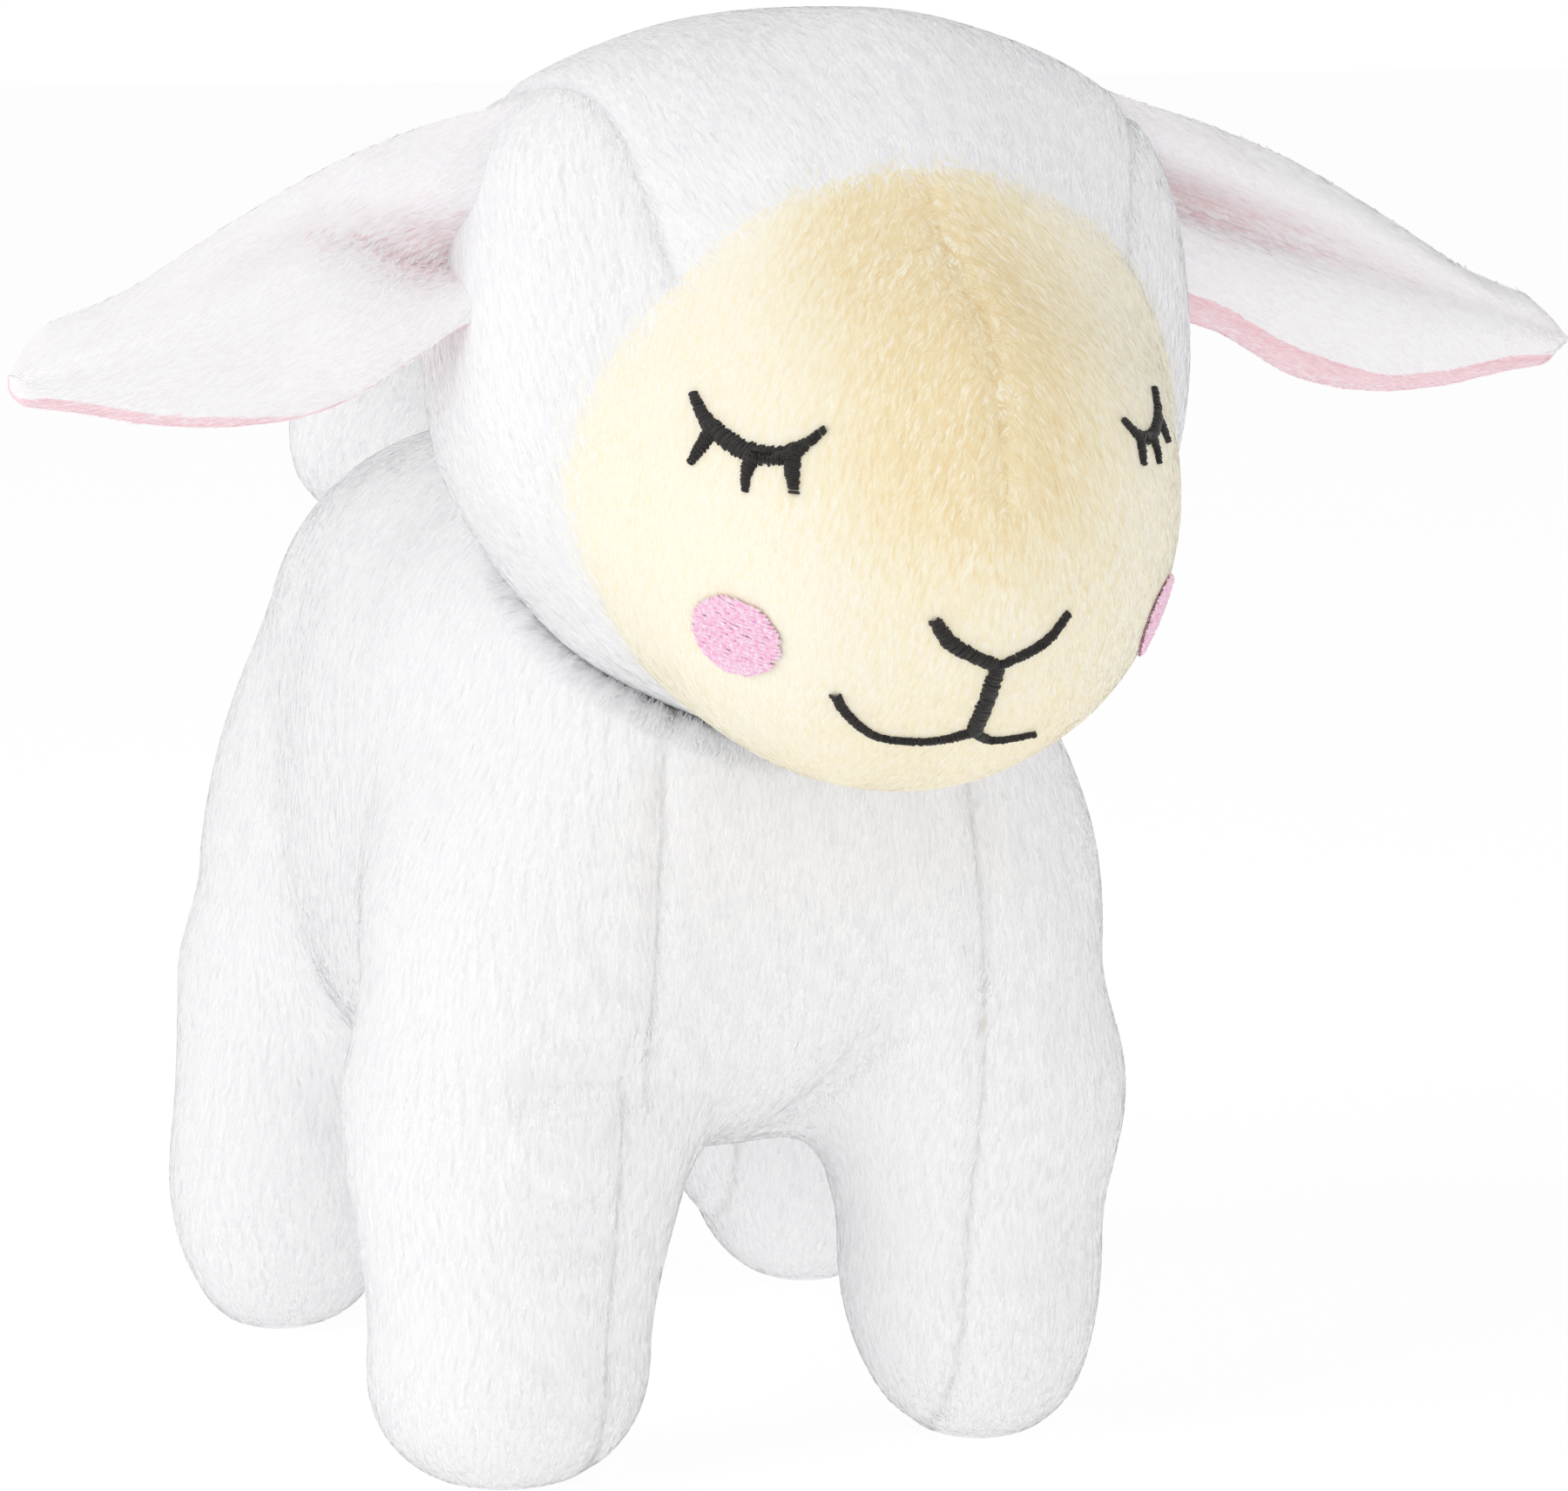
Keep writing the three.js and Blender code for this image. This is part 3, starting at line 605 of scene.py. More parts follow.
@dataclass(frozen=True)
class Fibre:
    """Sheared polyester pile: many fine matt fibres of a few close tones, palest first.

    The last tone is painted shade, for the dark down in a seam.
    """

    name: str
    tones: tuple[str, ...]
    roughness: float = 0.85
    sheen: float = 0.1

    def make(self) -> list[bpy.types.Material]:
        """Builds one material a tone.

        Returns:
            The materials, palest first.
        """
        made = []
        for number, tone in enumerate(self.tones):
            material, tree = blank_material(f"{self.name}_{number}")
            surface = add_node(
                tree, "ShaderNodeBsdfPrincipled",
                {"Base Color": linear(tone), "Roughness": self.roughness, "Sheen Weight": self.sheen,
                 "Sheen Roughness": 0.5, "Specular IOR Level": 0.2}, {},
            )
            add_node(tree, "ShaderNodeOutputMaterial", {}, {"Surface": surface.outputs["BSDF"]})
            made.append(material)
        return made


# Knitted polyester backing: matt, and a tone deeper than the fibre tips that it shows between, as painted
# shade for the shadow under a pile that casts none
WHITE_BACKING = Mottled("white_plush_backing", "#F9F8FA", "#F4F3F5", 9, 0.7, 0.12, 0.9, 0.1)
CREAM_BACKING = Mottled("cream_plush_backing", "#FDF7E4", "#FBF1D4", 9, 0.7, 0.12, 0.9, 0.1)
EAR_BACKING = Mottled("ear_plush_backing", "#FBF9FA", "#F8F3F5", 9, 0.7, 0.12, 0.9, 0.1)
PINK_BACKING = Mottled("pink_plush_backing", "#FBDFE5", "#F7D0D8", 9, 0.7, 0.12, 0.9, 0.1)
# Carded polyester fibre: loose, matt and uneven
FILLING = Mottled("polyester_fibrefill", "#FAFAFA", "#E9E9EA", 6, 1.2, 0.8, 1.0, 0.1)
FILLING_LUMP = 0.7
FILLING_PITCH = 14.0
# Spun embroidery and sewing thread: fine ridges with a soft shine
BLACK_THREAD = Mottled("black_embroidery_thread", "#35312F", "#1C1A19", 0.8, 0.12, 0.05, 0.55, 0.15)
PINK_THREAD = Mottled("pink_embroidery_thread", "#FFEFF9", "#F9B2D8", 0.5, 0.12, 0.05, 0.5, 0.2)
WHITE_THREAD = Mottled("white_sewing_thread", "#F4F2EE", "#E2DFDA", 0.8, 0.12, 0.05, 0.6, 0.1)
# Sheared polyester pile: close tones that look soft and even; the last, warm tone is painted shade in the
# seams
WHITE_PILE = Fibre("white_plush_pile", ("#FEFEFE", "#FCFCFD", "#FAFAFB", "#F6F6F8", "#F1F1F3", "#E8E4DF"))
CREAM_PILE = Fibre("cream_plush_pile", ("#FEFAEC", "#FDF6E0", "#FCF2D4", "#FBEDC8", "#F8E6BB", "#F0DAAA"))
EAR_PILE = Fibre("ear_plush_pile", ("#FEFDFE", "#FDFBFD", "#FCF8FB", "#F9EFF2", "#F5DFE1", "#F3D9DA"))
PINK_PILE = Fibre("pink_plush_pile", ("#FEEFF3", "#FDE7EC", "#FBDFE5", "#F8D5DC", "#F5CAD2", "#F0BCC6"))


class Wardrobe:
    """The finishes, each made once."""

    def __init__(self) -> None:
        """Starts with nothing made."""
        self.made: dict[str, list[bpy.types.Material]] = {}

    def get(self, finish: Mottled | Fibre) -> list[bpy.types.Material]:
        """The materials of a finish.

        Args:
            finish: which one.

        Returns:
            Its material slots.
        """
        if finish.name not in self.made:
            built = finish.make()
            self.made[finish.name] = built if isinstance(built, list) else [built]
        return self.made[finish.name]


@dataclass(frozen=True)
class Pile:
    """How a plush's fibres lie: lengths in millimetres, turns in degrees, fibres per square millimetre.

    A real fibre is about 0.02 mm wide, too fine to show, so each blade stands for a small lock of them.
    """

    density: float = 8.0
    length: float = 2.5
    length_spread: Pair = (0.75, 1.2)
    width: float = 0.22
    width_spread: Pair = (0.35, 0.65)
    rise: float = 0.03
    lift: float = 0.5
    lift_jitter: float = 0.6
    swirl: float = 9.0
    swirl_jitter: float = 9.0
    roll: float = 7.0
    clump_mm: float = 2.2
    scatter: float = 0.05
    streak_mm: float = 0.8
    streak_stretch: float = 0.8
    streak_relief: float = 0.1
    streak_tone: float = 0.85
    tone_jitter: float = 0.3
    # The last step picks the tone of painted shade in the seams
    tone_steps: tuple[float, ...] = (-1.0, -0.35, 0.35, 1.0, 2.3)
    above_floor: float = 0.05


def grow_pile(
    name: str, places: Array, normals: Array, comb: Array, pile: Pile, lean: Array | float,
    materials: list[bpy.types.Material], draw: np.random.Generator,
) -> bpy.types.Object:
    """Lays one thin blade at each place, the way the pile is combed.

    The blades gather in streaks of near tones. So fine a pile lets light through, so it casts no shadow.

    Args:
        name: the object's name.
        places: where the fibres' middles lie.
        normals: outward directions there.
        comb: which way the fibres lie, longer than 1 for longer fibres.
        pile: how they lie.
        lean: how far the tones lean to the deep ones, or to the pale ones below zero.
        materials: the tones' slots, palest first.
        draw: the random source.

    Returns:
        The object.
    """
    count = len(places)
    lie = unit(comb - (comb * normals).sum(1, keepdims=True) * normals)
    swirl = pile.swirl * ripple(places, pile.clump_mm, seed=11) + draw.normal(0, pile.swirl_jitter, count)
    swirl = np.radians(swirl)[:, None]
    lie = lie * np.cos(swirl) + np.cross(normals, lie) * np.sin(swirl)
    lift = np.radians(pile.lift + draw.normal(0, pile.lift_jitter, count))
    along = unit(lie * np.cos(lift)[:, None] + normals * np.sin(lift)[:, None])
    flat = unit(np.cross(normals, along))
    roll = np.radians(draw.normal(0, pile.roll, count))[:, None]
    flat = flat * np.cos(roll) + np.cross(along, flat) * np.sin(roll)
    half = pile.width * draw.uniform(*pile.width_spread, count)[:, None]
    stretch = np.linalg.norm(comb, axis=1) * draw.uniform(*pile.length_spread, count)
    reach = along * (pile.length / 2 * stretch)[:, None]
    middle = places + pile.rise * normals
    root, tip = middle - reach, middle + reach
    points = np.stack([root + flat * half, root - flat * half, tip], 1).reshape(-1, 3)
    points[:, 2] = np.maximum(points[:, 2], pile.above_floor)
    piece = link_mesh(name, Skin(points, np.arange(3 * count).reshape(-1, 3)), materials)
    grain = unit(comb.mean(0))
    across = places - pile.streak_stretch * np.outer(places @ grain, grain)
    streak = ripple(across, pile.streak_mm, seed=14, waves=16)
    level = pile.streak_tone * streak + draw.normal(0, pile.tone_jitter, count) + lean
    tones = np.digitize(level, pile.tone_steps)
    piece.data.polygons.foreach_set("material_index", tones.astype(np.int32))
    beside = np.cross(normals, lie) * (pile.streak_relief * streak)[:, None]
    facing = unit(normals + beside + pile.scatter * draw.normal(size=(count, 3)))
    piece.data.normals_split_custom_set_from_vertices(np.repeat(facing, 3, 0).tolist())
    piece.visible_shadow = False
    return piece


@dataclass
class Dresser:
    """Sews panels: a cloth skin, its pile, and what they ride on and stand for."""

    wardrobe: Wardrobe

    def settle_piece(
        self, piece: bpy.types.Object, rides: "Ride", slot: str, nodes: tuple[str, ...] = ()
    ) -> None:
        """Ties a piece to what it moves with, hides the CAD nodes that it stands for and logs its size.

        Args:
            piece: the object.
            rides: what it moves with.
            slot: not used.
            nodes: the CAD nodes that it stands for.
        """
        rides.apply(piece)
        if nodes:
            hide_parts(*nodes)
        log.info("%s: %d faces", piece.name, len(piece.data.polygons))

    def panel(
        self, node: str, skin: Skin, backing: Mottled, slot: str, rides: "Ride", cloth: float = 1.2
    ) -> bpy.types.Object:
        """Makes a panel's cloth, with crisp cut edges.

        Args:
            node: the CAD node that it stands for.
            skin: the panel's outside.
            backing: its finish.
            slot: passed on, but not used.
            rides: what it moves with.
            cloth: how thick it is.

        Returns:
            The cloth's object.
        """
        piece = link_mesh(f"{node}_cloth", skin, self.wardrobe.get(backing))
        sides = np.zeros(len(piece.data.loops), np.int32)
        piece.data.loops.foreach_get("edge_index", sides)
        cut = np.bincount(sides, minlength=len(piece.data.edges)) == 1
        piece.data.attributes.new("sharp_edge", "BOOLEAN", "EDGE").data.foreach_set("value", cut)
        thick = piece.modifiers.new("cloth", "SOLIDIFY")
        thick.thickness, thick.offset = cloth * MM, -1
        self.settle_piece(piece, rides, slot, (node,))
        return piece

    def plush(
        self, node: str, roots: tuple[Array, Array], comb: Array, pile: Pile, lean: Array | float,
        fibres: Fibre, slot: str, rides: "Ride", draw: np.random.Generator,
    ) -> None:
        """Lays a panel's pile.

        Args:
            node: the CAD node of the panel.
            roots: where the fibres lie, and the outward directions there.
            comb: which way they lie, as in grow_pile.
            pile: how they lie.
            lean: how far the tones lean, as in grow_pile.
            fibres: their finish.
            slot: passed on, but not used.
            rides: what they move with.
            draw: the random source.
        """
        materials = self.wardrobe.get(fibres)
        self.settle_piece(grow_pile(f"{node}_pile", *roots, comb, pile, lean, materials, draw), rides, slot)

    def stuff(self, name: str, filling: Skin, rides: "Ride", node: str, fill: float = 0.85) -> None:
        """Makes a piece of loose fibre stuffing.

        Args:
            name: its name.
            filling: its mesh.
            rides: what it moves with.
            node: the CAD node that it stands for.
            fill: not used.
        """
        piece = link_mesh(name, filling, self.wardrobe.get(FILLING))
        self.settle_piece(piece, rides, "stuffing", (node,))


@dataclass(frozen=True)
class Ride:
    """What a piece moves with: one body, or two bodies and the span between them."""

    body: str
    towards: str = ""
    start: tuple[float, ...] = ()
    end: tuple[float, ...] = ()

    def apply(self, piece: bpy.types.Object) -> None:
        """Ties the piece to its one body; a piece between two only has its place baked into its mesh.

        Args:
            piece: the object.
        """
        if self.towards:
            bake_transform(piece)
        else:
            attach(piece, self.body)


# The head


@dataclass(frozen=True)
class FaceTones:
    """How far the parts of the face lean to the deep tones, or to the pale ones below zero.

    Where the parts lie is measured across and above the middle of the skull. The forehead's and the rim's
    tones are the cream's own; the cheeks' pale ones are painted sheen, the chin's deep ones painted shade,
    and the dart's deep line partly painted shade in its crease.
    """

    plain: float = -1.2
    forehead: float = 2.75
    forehead_at: float = -4.0
    forehead_width: float = 20.0
    forehead_low: float = -34.0
    forehead_run: float = 30.0
    chin: float = 0.7
    chin_top: float = -20.0
    chin_run: float = 20.0
    cheeks: float = -0.8
    cheeks_from: float = 10.0
    cheeks_run: float = 16.0
    rim: float = -1.0
    rim_width: float = 4.0
    tuft: float = 1.0
    tuft_uneven: float = 0.6
    tuft_width: float = 0.8
    tuft_size: float = 3.0


@dataclass
class Head:
    """A round skull, a squarer crown on top of it and a round muzzle in front, in four panels."""

    dresser: Dresser
    centre: Array = field(default_factory=lambda: pivot("head_nod"))
    skull: float = 46.0
    crown_half: Triple = (49.0, 25.5, 36.3)
    crown_squareness: float = 2.9
    crown_lead: float = 4.0
    crown_rise: float = 8.5
    crown_shift: float = -2.2
    muzzle_half: Triple = (35.4, 34.2, 35.3)
    muzzle_lead: float = 27.4
    muzzle_drop: float = 14.0
    blend: float = 7.4
    rim_lead: float = 25.4
    rim_tilt: float = 20.0
    seam_front: float = 33.0
    seam_middle: float = 40.0
    seam_nape: float = 22.0
    nape_drop: float = 24.0
    nape_from: float = -10.0
    nape_run: float = 30.0
    dart_top: float = 30.0
    dart_bottom: float = -16.0
    dart_fade: Pair = (8.0, 6.0)
    dart_wander: float = 0.5
    dart_wave: float = 5.0
    side_comb: Triple = (0.0, -0.25, -1.0)
    crown_comb: Triple = (0.12, -1.0, -0.45)
    parting_width: float = 6.0
    parting_reach: float = 4.0
    parting_spread: Pair = (0.25, 0.9)
    tuft_reach: float = 3.5
    tuft_size: float = 2.4
    tuft_swirl: float = 1.3
    rim_groove: Pair = (1.6, 0.4)
    dart_groove: Pair = (1.4, 0.5)
    crown_groove: Pair = (1.1, 0.75)
    slack: float = 0.35
    slack_length: float = 34.0
    room_low: Triple = (56.0, 72.0, 58.0)
    room_high: Triple = (56.0, 54.0, 56.0)
    filling_inset: float = 3.4
    filling_cell: float = 4.0
    rim_wander: float = 1.2
    tones: FaceTones = FaceTones()
    seam_shade: float = 2.4
    seam_shade_width: float = 0.5
    face_pile: Pile = Pile(length=1.8, density=9.0, lift=3, streak_relief=0.06, streak_tone=0.5)
    cell: float = 1.25
    panels: tuple[str, ...] = ("face_panel", "crown_panel", "head_side_left", "head_side_right")

    def form(self, points: Array) -> Array:
        """The stuffed head without its seams.

        Args:
            points: places, one a row.

        Returns:
            Distances, below zero inside.
        """
        skull = np.linalg.norm(points - self.centre, axis=1) - self.skull
        crown_at = self.centre + (self.crown_shift, -self.crown_lead, self.crown_rise)
        crown = lump(points, crown_at, np.array(self.crown_half), self.crown_squareness)
        muzzle_at = self.centre + (0, -self.muzzle_lead, -self.muzzle_drop)
        muzzle = lump(points, muzzle_at, np.array(self.muzzle_half), 2)
        return melt(melt(skull, crown, self.blend), muzzle, self.blend)

    def before_rim(self, points: Array) -> Array:
        """Distance ahead of the face's rim.

        Args:
            points: places, one a row.

        Returns:
            Distances, below zero behind the rim.
        """
        tilt = math.radians(self.rim_tilt)
        offset = points - (self.centre + (0, -self.rim_lead, 0))
        return -offset[:, 1] * math.cos(tilt) - offset[:, 2] * math.sin(tilt)

    def inside_crown(self, points: Array) -> Array:
        """Distance inside the crown panel's two long seams and its nape.

        Args:
            points: places, one a row.

        Returns:
            Distances, below zero outside the panel.
        """
        y = points[:, 1] - self.centre[1]
        front, nape = -self.rim_lead, self.skull
        half = (
            self.seam_front * y * (y - nape) / (front * (front - nape))
            + self.seam_middle * (y - front) * (y - nape) / (front * nape)
            + self.seam_nape * y * (y - front) / (nape * (nape - front))
        )
        drop = self.nape_drop * ease((y - self.nape_from) / self.nape_run)
        above_nape = points[:, 2] - self.centre[2] + drop
        return np.minimum(half - np.abs(points[:, 0]), above_nape)

    def dart(self, points: Array) -> tuple[Array, Array]:
        """The sewn dart down the forehead: distance across it, and 1 along its length.

        Args:
            points: places, one a row.

        Returns:
            Distances, and shares from 0 to 1.
        """
        rise = points[:, 2] - self.centre[2]
        low_fade, top_fade = self.dart_fade
        run = ease((rise - self.dart_bottom) / low_fade) * ease((self.dart_top - rise) / top_fade)
        wander = self.dart_wander * np.sin(rise / self.dart_wave)
        return points[:, 0] - wander, run * (self.before_rim(points) > 0)

    def skin(self, points: Array) -> Array:
        """The head's cloth, drawn in at its seams.

        Args:
            points: places, one a row.

        Returns:
            Distances, below zero inside.
        """
        across, run = self.dart(points)
        crown_width, crown_depth = self.crown_groove
        dips = groove(self.before_rim(points), *self.rim_groove)
        dips = dips + crown_depth * self.crown_seam(points, crown_width)
        dips = dips + run * groove(across, *self.dart_groove)
        return self.form(points) + dips - self.slack * ripple(points, self.slack_length, seed=3)

    def crown_seam(self, points: Array, width: float) -> Array:
        """1 on the seams round the crown panel, and near 0 beyond the width."""
        behind = ease(-self.before_rim(points) / 2 + 0.5)
        return behind * bell(self.inside_crown(points), width)

    def label(self, points: Array) -> Array:
        """The number of the panel that holds each place.

        Args:
            points: places, one a row.

        Returns:
            Panel numbers, in the order of panels.
        """
        sides = np.where(points[:, 0] > 0, 2, 3)
        behind = np.where(self.inside_crown(points) > 0, 1, sides)
        return np.where(self.before_rim(points) > 0, 0, behind)

    def comb(self, points: Array, labels: Array) -> Array:
        """Which way the pile lies: forward over the crown, down the sides and the face.

        Args:
            points: places, one a row.
            labels: the panel number of each place.

        Returns:
            One direction a place.
        """
        ways = np.tile(self.side_comb, (len(points), 1))
        ways[labels == 1] = self.crown_comb
        face = labels == 0
        across, run = self.dart(points[face])
        tufts = run * bell(across, self.tuft_reach) * ripple(points[face], self.tuft_size, seed=17)
        plain, parted = self.parting_spread
        parting = plain + parted * run * np.exp(-np.abs(across) / self.parting_reach)
        share = np.clip(across, -self.parting_width, self.parting_width) / self.parting_width
        spread = share * parting + self.tuft_swirl * tufts
        ways[face] = np.stack([spread, np.zeros(face.sum()), -np.ones(face.sum())], 1)
        return ways

    def warmth(self, points: Array) -> Array:
        """How far the face's tones lean to the deep ones: most on the forehead, least at the cheeks, where
        the pale is painted sheen; the chin's deep tones are painted shade, and the dart's partly.

        Args:
            points: places, one a row.

        Returns:
            What the tones lean by, as in grow_pile.
        """
        across, run = self.dart(points)
        rise = points[:, 2] - self.centre[2]
        tone = self.tones
        forehead = bell(across - tone.forehead_at, tone.forehead_width)
        forehead = forehead * ease((rise - tone.forehead_low) / tone.forehead_run)
        # Partly painted shade: a ragged line of deep tones down the dart's crease, among its tufts
        uneven = tone.tuft_uneven * ripple(points, tone.tuft_size, seed=18)
        tufts = bell(across, tone.tuft_width) * (tone.tuft + uneven)
        rim = bell(self.before_rim(points), tone.rim_width)
        # Painted sheen: paler towards the sides of the face
        cheeks = ease((np.abs(across) - tone.cheeks_from) / tone.cheeks_run)
        # Painted shade: deeper low on the muzzle
        chin = ease((tone.chin_top - rise) / tone.chin_run)
        parts = tone.forehead * forehead + tone.chin * chin + tone.cheeks * cheeks + tone.rim * rim
        return parts + run * tufts + tone.plain

    def build(self, clear_of: Field) -> None:
        """Makes the panels, their pile and the stuffing.

        Args:
            clear_of: says where the embroidery keeps the pile away.
        """
        low, high = self.centre - self.room_low, self.centre + self.room_high
        whole = surface_net(self.skin, low, high, self.cell, self.form)
        labels = cut_panels(whole, self.label, self.skin)
        rides = Ride("head")
        for number, node in enumerate(self.panels):
            cream = number == 0
            slot = "cream_plush" if cream else "white_plush"
            backing = CREAM_BACKING if cream else WHITE_BACKING
            self.dresser.panel(node, whole.part(labels == number), backing, slot, rides)
        self.grow(whole, clear_of, rides)

        def inside(points: Array) -> Array:
            """Below zero in the stuffing."""
            lumps = FILLING_LUMP * ripple(points, FILLING_PITCH, seed=5)
            return self.form(points) + self.filling_inset + lumps

        filling = surface_net(inside, low, high, self.filling_cell)
        self.dresser.stuff("head_filling", filling, rides, "head_stuffing")

    def grow(self, whole: Skin, clear_of: Field, rides: Ride) -> None:
        """Grows the pile of every panel.

        Args:
            whole: the head's mesh.
            clear_of: says where the embroidery keeps the pile away.
            rides: what the pile moves with.
        """
        draw = np.random.default_rng(21)
        for number, node in enumerate(self.panels):
            cream = number == 0
            pile = self.face_pile if cream else Pile()
            places, normals = whole.scatter(pile.density, draw)
            labels = self.label(places + draw.normal(0, self.rim_wander, places.shape))
            mine = labels == number
            if cream:
                mine &= ~clear_of(places)
            places, normals, labels = places[mine], normals[mine], labels[mine]
            # Painted shade: the white pile leans to its deep tones along the crown's seams
            shade = self.seam_shade * self.crown_seam(places, self.seam_shade_width)
            lean = self.warmth(places) if cream else shade
            fibres, slot = (CREAM_PILE, "cream_plush") if cream else (WHITE_PILE, "white_plush")
            comb = self.comb(places, labels)
            self.dresser.plush(node, (places, normals), comb, pile, lean, fibres, slot, rides, draw)


# The embroidery


@dataclass(frozen=True)
class StitchRow:
    """A column of satin stitches along a line on the face.

    Places are across and above the middle of the skull, on the left half of the face.
    """

    places: tuple[Pair, ...]
    widths: tuple[float, ...]


@dataclass
class Embroidery:
    """Closed eyes, oval cheeks, nose and mouth, stitched through the face."""

    dresser: Dresser
    head: Head
    spacing: float = 0.3
    thread: float = 0.2
    face_depth: float = 90.0
    samples: int = 160
    satin_steps: tuple[float, ...] = (-1.0, -0.75, -0.3, 0.3, 0.75, 1.0)
    satin_arch: tuple[float, ...] = (-0.5, 0.25, 0.5, 0.5, 0.25, -0.5)
    satin_ends: Pair = (0.8, 1.15)
    satin_lift: float = 0.3
    satin_height: float = 0.45
    satin_bulge: float = 0.12
    satin_slant: float = 0.25
    slant_jitter: float = 0.05
    lift_jitter: float = 0.04
    cheek_middle: Pair = (28.3, -27.2)
    cheek_half: Pair = (6.5, 5.4)
    cheek_row: float = 0.36
    cheek_stitch: float = 2.4
    cheek_slant: float = 24.0
    cheek_reach: float = 7.0
    cheek_lift: tuple[float, ...] = (0.29, 0.45, 0.5, 0.5, 0.45, 0.29)
    cheek_thread: float = 0.21
    cheek_rise: float = 6.2
    cheek_samples: int = 281
    cheek_fewest: int = 20
    cheek_ragged: float = 0.12
    cheek_stagger: float = 0.37
    cheek_shortest: float = 0.5
    cheek_overlap: float = 0.08
    cheek_jitter: float = 0.03
    row_room: float = 24.0
    cheek_room: float = 12.0
    pile_overlap: float = 0.4
    cheek_clear: float = 1.02
    eye: tuple[StitchRow, ...] = (
        StitchRow(
            ((30.9, 1.6), (30.0, -2.0), (27.4, -4.8), (23.9, -4.7), (20.1, -1.8)),
            (1.0, 1.9, 2.2, 2.0, 0.6),
        ),
        StitchRow(((29.8, -2.2), (31.0, -4.4), (32.0, -6.6)), (2.4, 1.7, 0.7)),
        StitchRow(((27.2, -5.0), (27.9, -7.2), (28.2, -9.4)), (2.3, 1.3, 0.6)),
        StitchRow(((23.7, -4.8), (23.9, -6.9), (23.9, -9.2)), (2.2, 1.7, 1.1)),
    )
    nose_arm: StitchRow = StitchRow(((8.6, -24.5), (5.7, -27.8), (0.0, -30.6)), (1.3, 1.8, 1.5))
    nose_stem: StitchRow = StitchRow(((0.0, -30.4), (0.0, -34.6), (0.0, -39.5)), (1.8, 2.0, 2.0))
    mouth_arm: StitchRow = StitchRow(
        ((0.0, -39.3), (4.8, -40.4), (11.1, -39.7), (15.4, -36.7), (17.5, -34.1)),
        (1.4, 0.85, 0.75, 1.0, 1.2),
    )
    short_mouth_arm: StitchRow = StitchRow(((0.0, -39.3), (3.2, -40.6), (9.0, -40.2)), (1.3, 0.75, 0.4))
    left_eye_shift: float = -1.7
    left_eye_scale: float = 0.78
    left_eye_thread: float = 0.65
    left_nose_scale: float = 0.65

    def rows(self, side: Side) -> tuple[list[StitchRow], list[StitchRow]]:
        """The rows of one side's eye, and its half of the nose and mouth.

        The left eye is smaller and nearer the nose than the right one, and the left arms of the nose
        and mouth are thin.

        Args:
            side: which side of the face.

        Returns:
            The eye's rows, and the other rows.
        """
        if side is Side.RIGHT:
            return list(self.eye), [self.nose_arm, self.mouth_arm]
        corner = np.array(self.eye[0].places[-1])
        eye = []
        for row in self.eye:
            places = corner + self.left_eye_scale * (np.array(row.places) - corner)
            places = places + (self.left_eye_shift, 0)
            widths = tuple(self.left_eye_thread * width for width in row.widths)
            eye.append(StitchRow(tuple(map(tuple, places)), widths))
        thin = tuple(self.left_nose_scale * width for width in self.nose_arm.widths)
        return eye, [StitchRow(self.nose_arm.places, thin), self.short_mouth_arm]

    def on_face(self, places: Array, halvings: int = 32) -> tuple[Array, Array]:
        """Where places seen from the front lie on the cloth, and the outward directions there.

        Args:
            places: distances across and above the middle of the skull, one pair a row.
            halvings: how often the search for the cloth halves its step.

        Returns:
            Places on the cloth, and directions.
        """
        start = self.head.centre + np.stack(
            [places[:, 0], np.full(len(places), -self.head.crown_lead), places[:, 1]], 1
        )
        near, far = np.zeros(len(places)), np.full(len(places), self.face_depth)
        for _ in range(halvings):
            middle = (near + far) / 2
            inside = self.head.skin(start - middle[:, None] * (0, 1, 0)) < 0
            near, far = np.where(inside, middle, near), np.where(inside, far, middle)
        spots = start - near[:, None] * (0, 1, 0)
        return spots, unit(gradient(self.head.form, spots))

    def line(self, row: StitchRow, side: Side) -> tuple[Array, Array, Array]:
        """Places along a row at the stitches' spacing, outward directions and widths there.

        Args:
            row: the row.
            side: which side of the face.

        Returns:
            One place, direction and width a stitch.
        """
        marks = np.array(row.places) * (side.value, 1)
        turns = np.linspace(0, len(marks) - 1, self.samples)
        smooth = np.stack([spline(turns, marks[:, k]) for k in range(2)], 1)
        spots, normals = self.on_face(smooth)
        run = np.concatenate([[0], np.cumsum(np.linalg.norm(np.diff(spots, axis=0), axis=1))])
        wanted = np.arange(0, run[-1], self.spacing)
        spots = np.stack([np.interp(wanted, run, spots[:, k]) for k in range(3)], 1)
        normals = unit(np.stack([np.interp(wanted, run, normals[:, k]) for k in range(3)], 1))
        marked = np.interp(turns, np.arange(len(row.widths)), row.widths)
        return spots, normals, np.interp(wanted, run, marked)

    def satin(self, row: StitchRow, side: Side, draw: np.random.Generator) -> list[Skin]:
        """Threads laid side by side across a row.

        Args:
            row: the row.
            side: which side of the face.
            draw: the random source.

        Returns:
            The threads.
        """
        spots, normals, widths = self.line(row, side)
        ways = unit(np.gradient(spots, axis=0))
        across = unit(np.cross(normals, ways))
        steps, arch = np.array(self.satin_steps), np.array(self.satin_arch)
        threads = []
        for k in range(len(spots)):
            reach = widths[k] / 2 * draw.uniform(*self.satin_ends, 2)
            offsets = np.where(steps < 0, steps * reach[0], steps * reach[1])
            height = self.satin_lift + arch * (self.satin_height + self.satin_bulge * widths[k])
            height = height + draw.normal(0, self.lift_jitter)
            slant = self.satin_slant * offsets + draw.normal(0, self.slant_jitter)
            route = spots[k] + across[k] * offsets[:, None]
            route = route + normals[k] * height[:, None] + ways[k] * slant[:, None]
            threads.append(tube(route, np.full(len(route), self.thread), sides=5))
        return threads

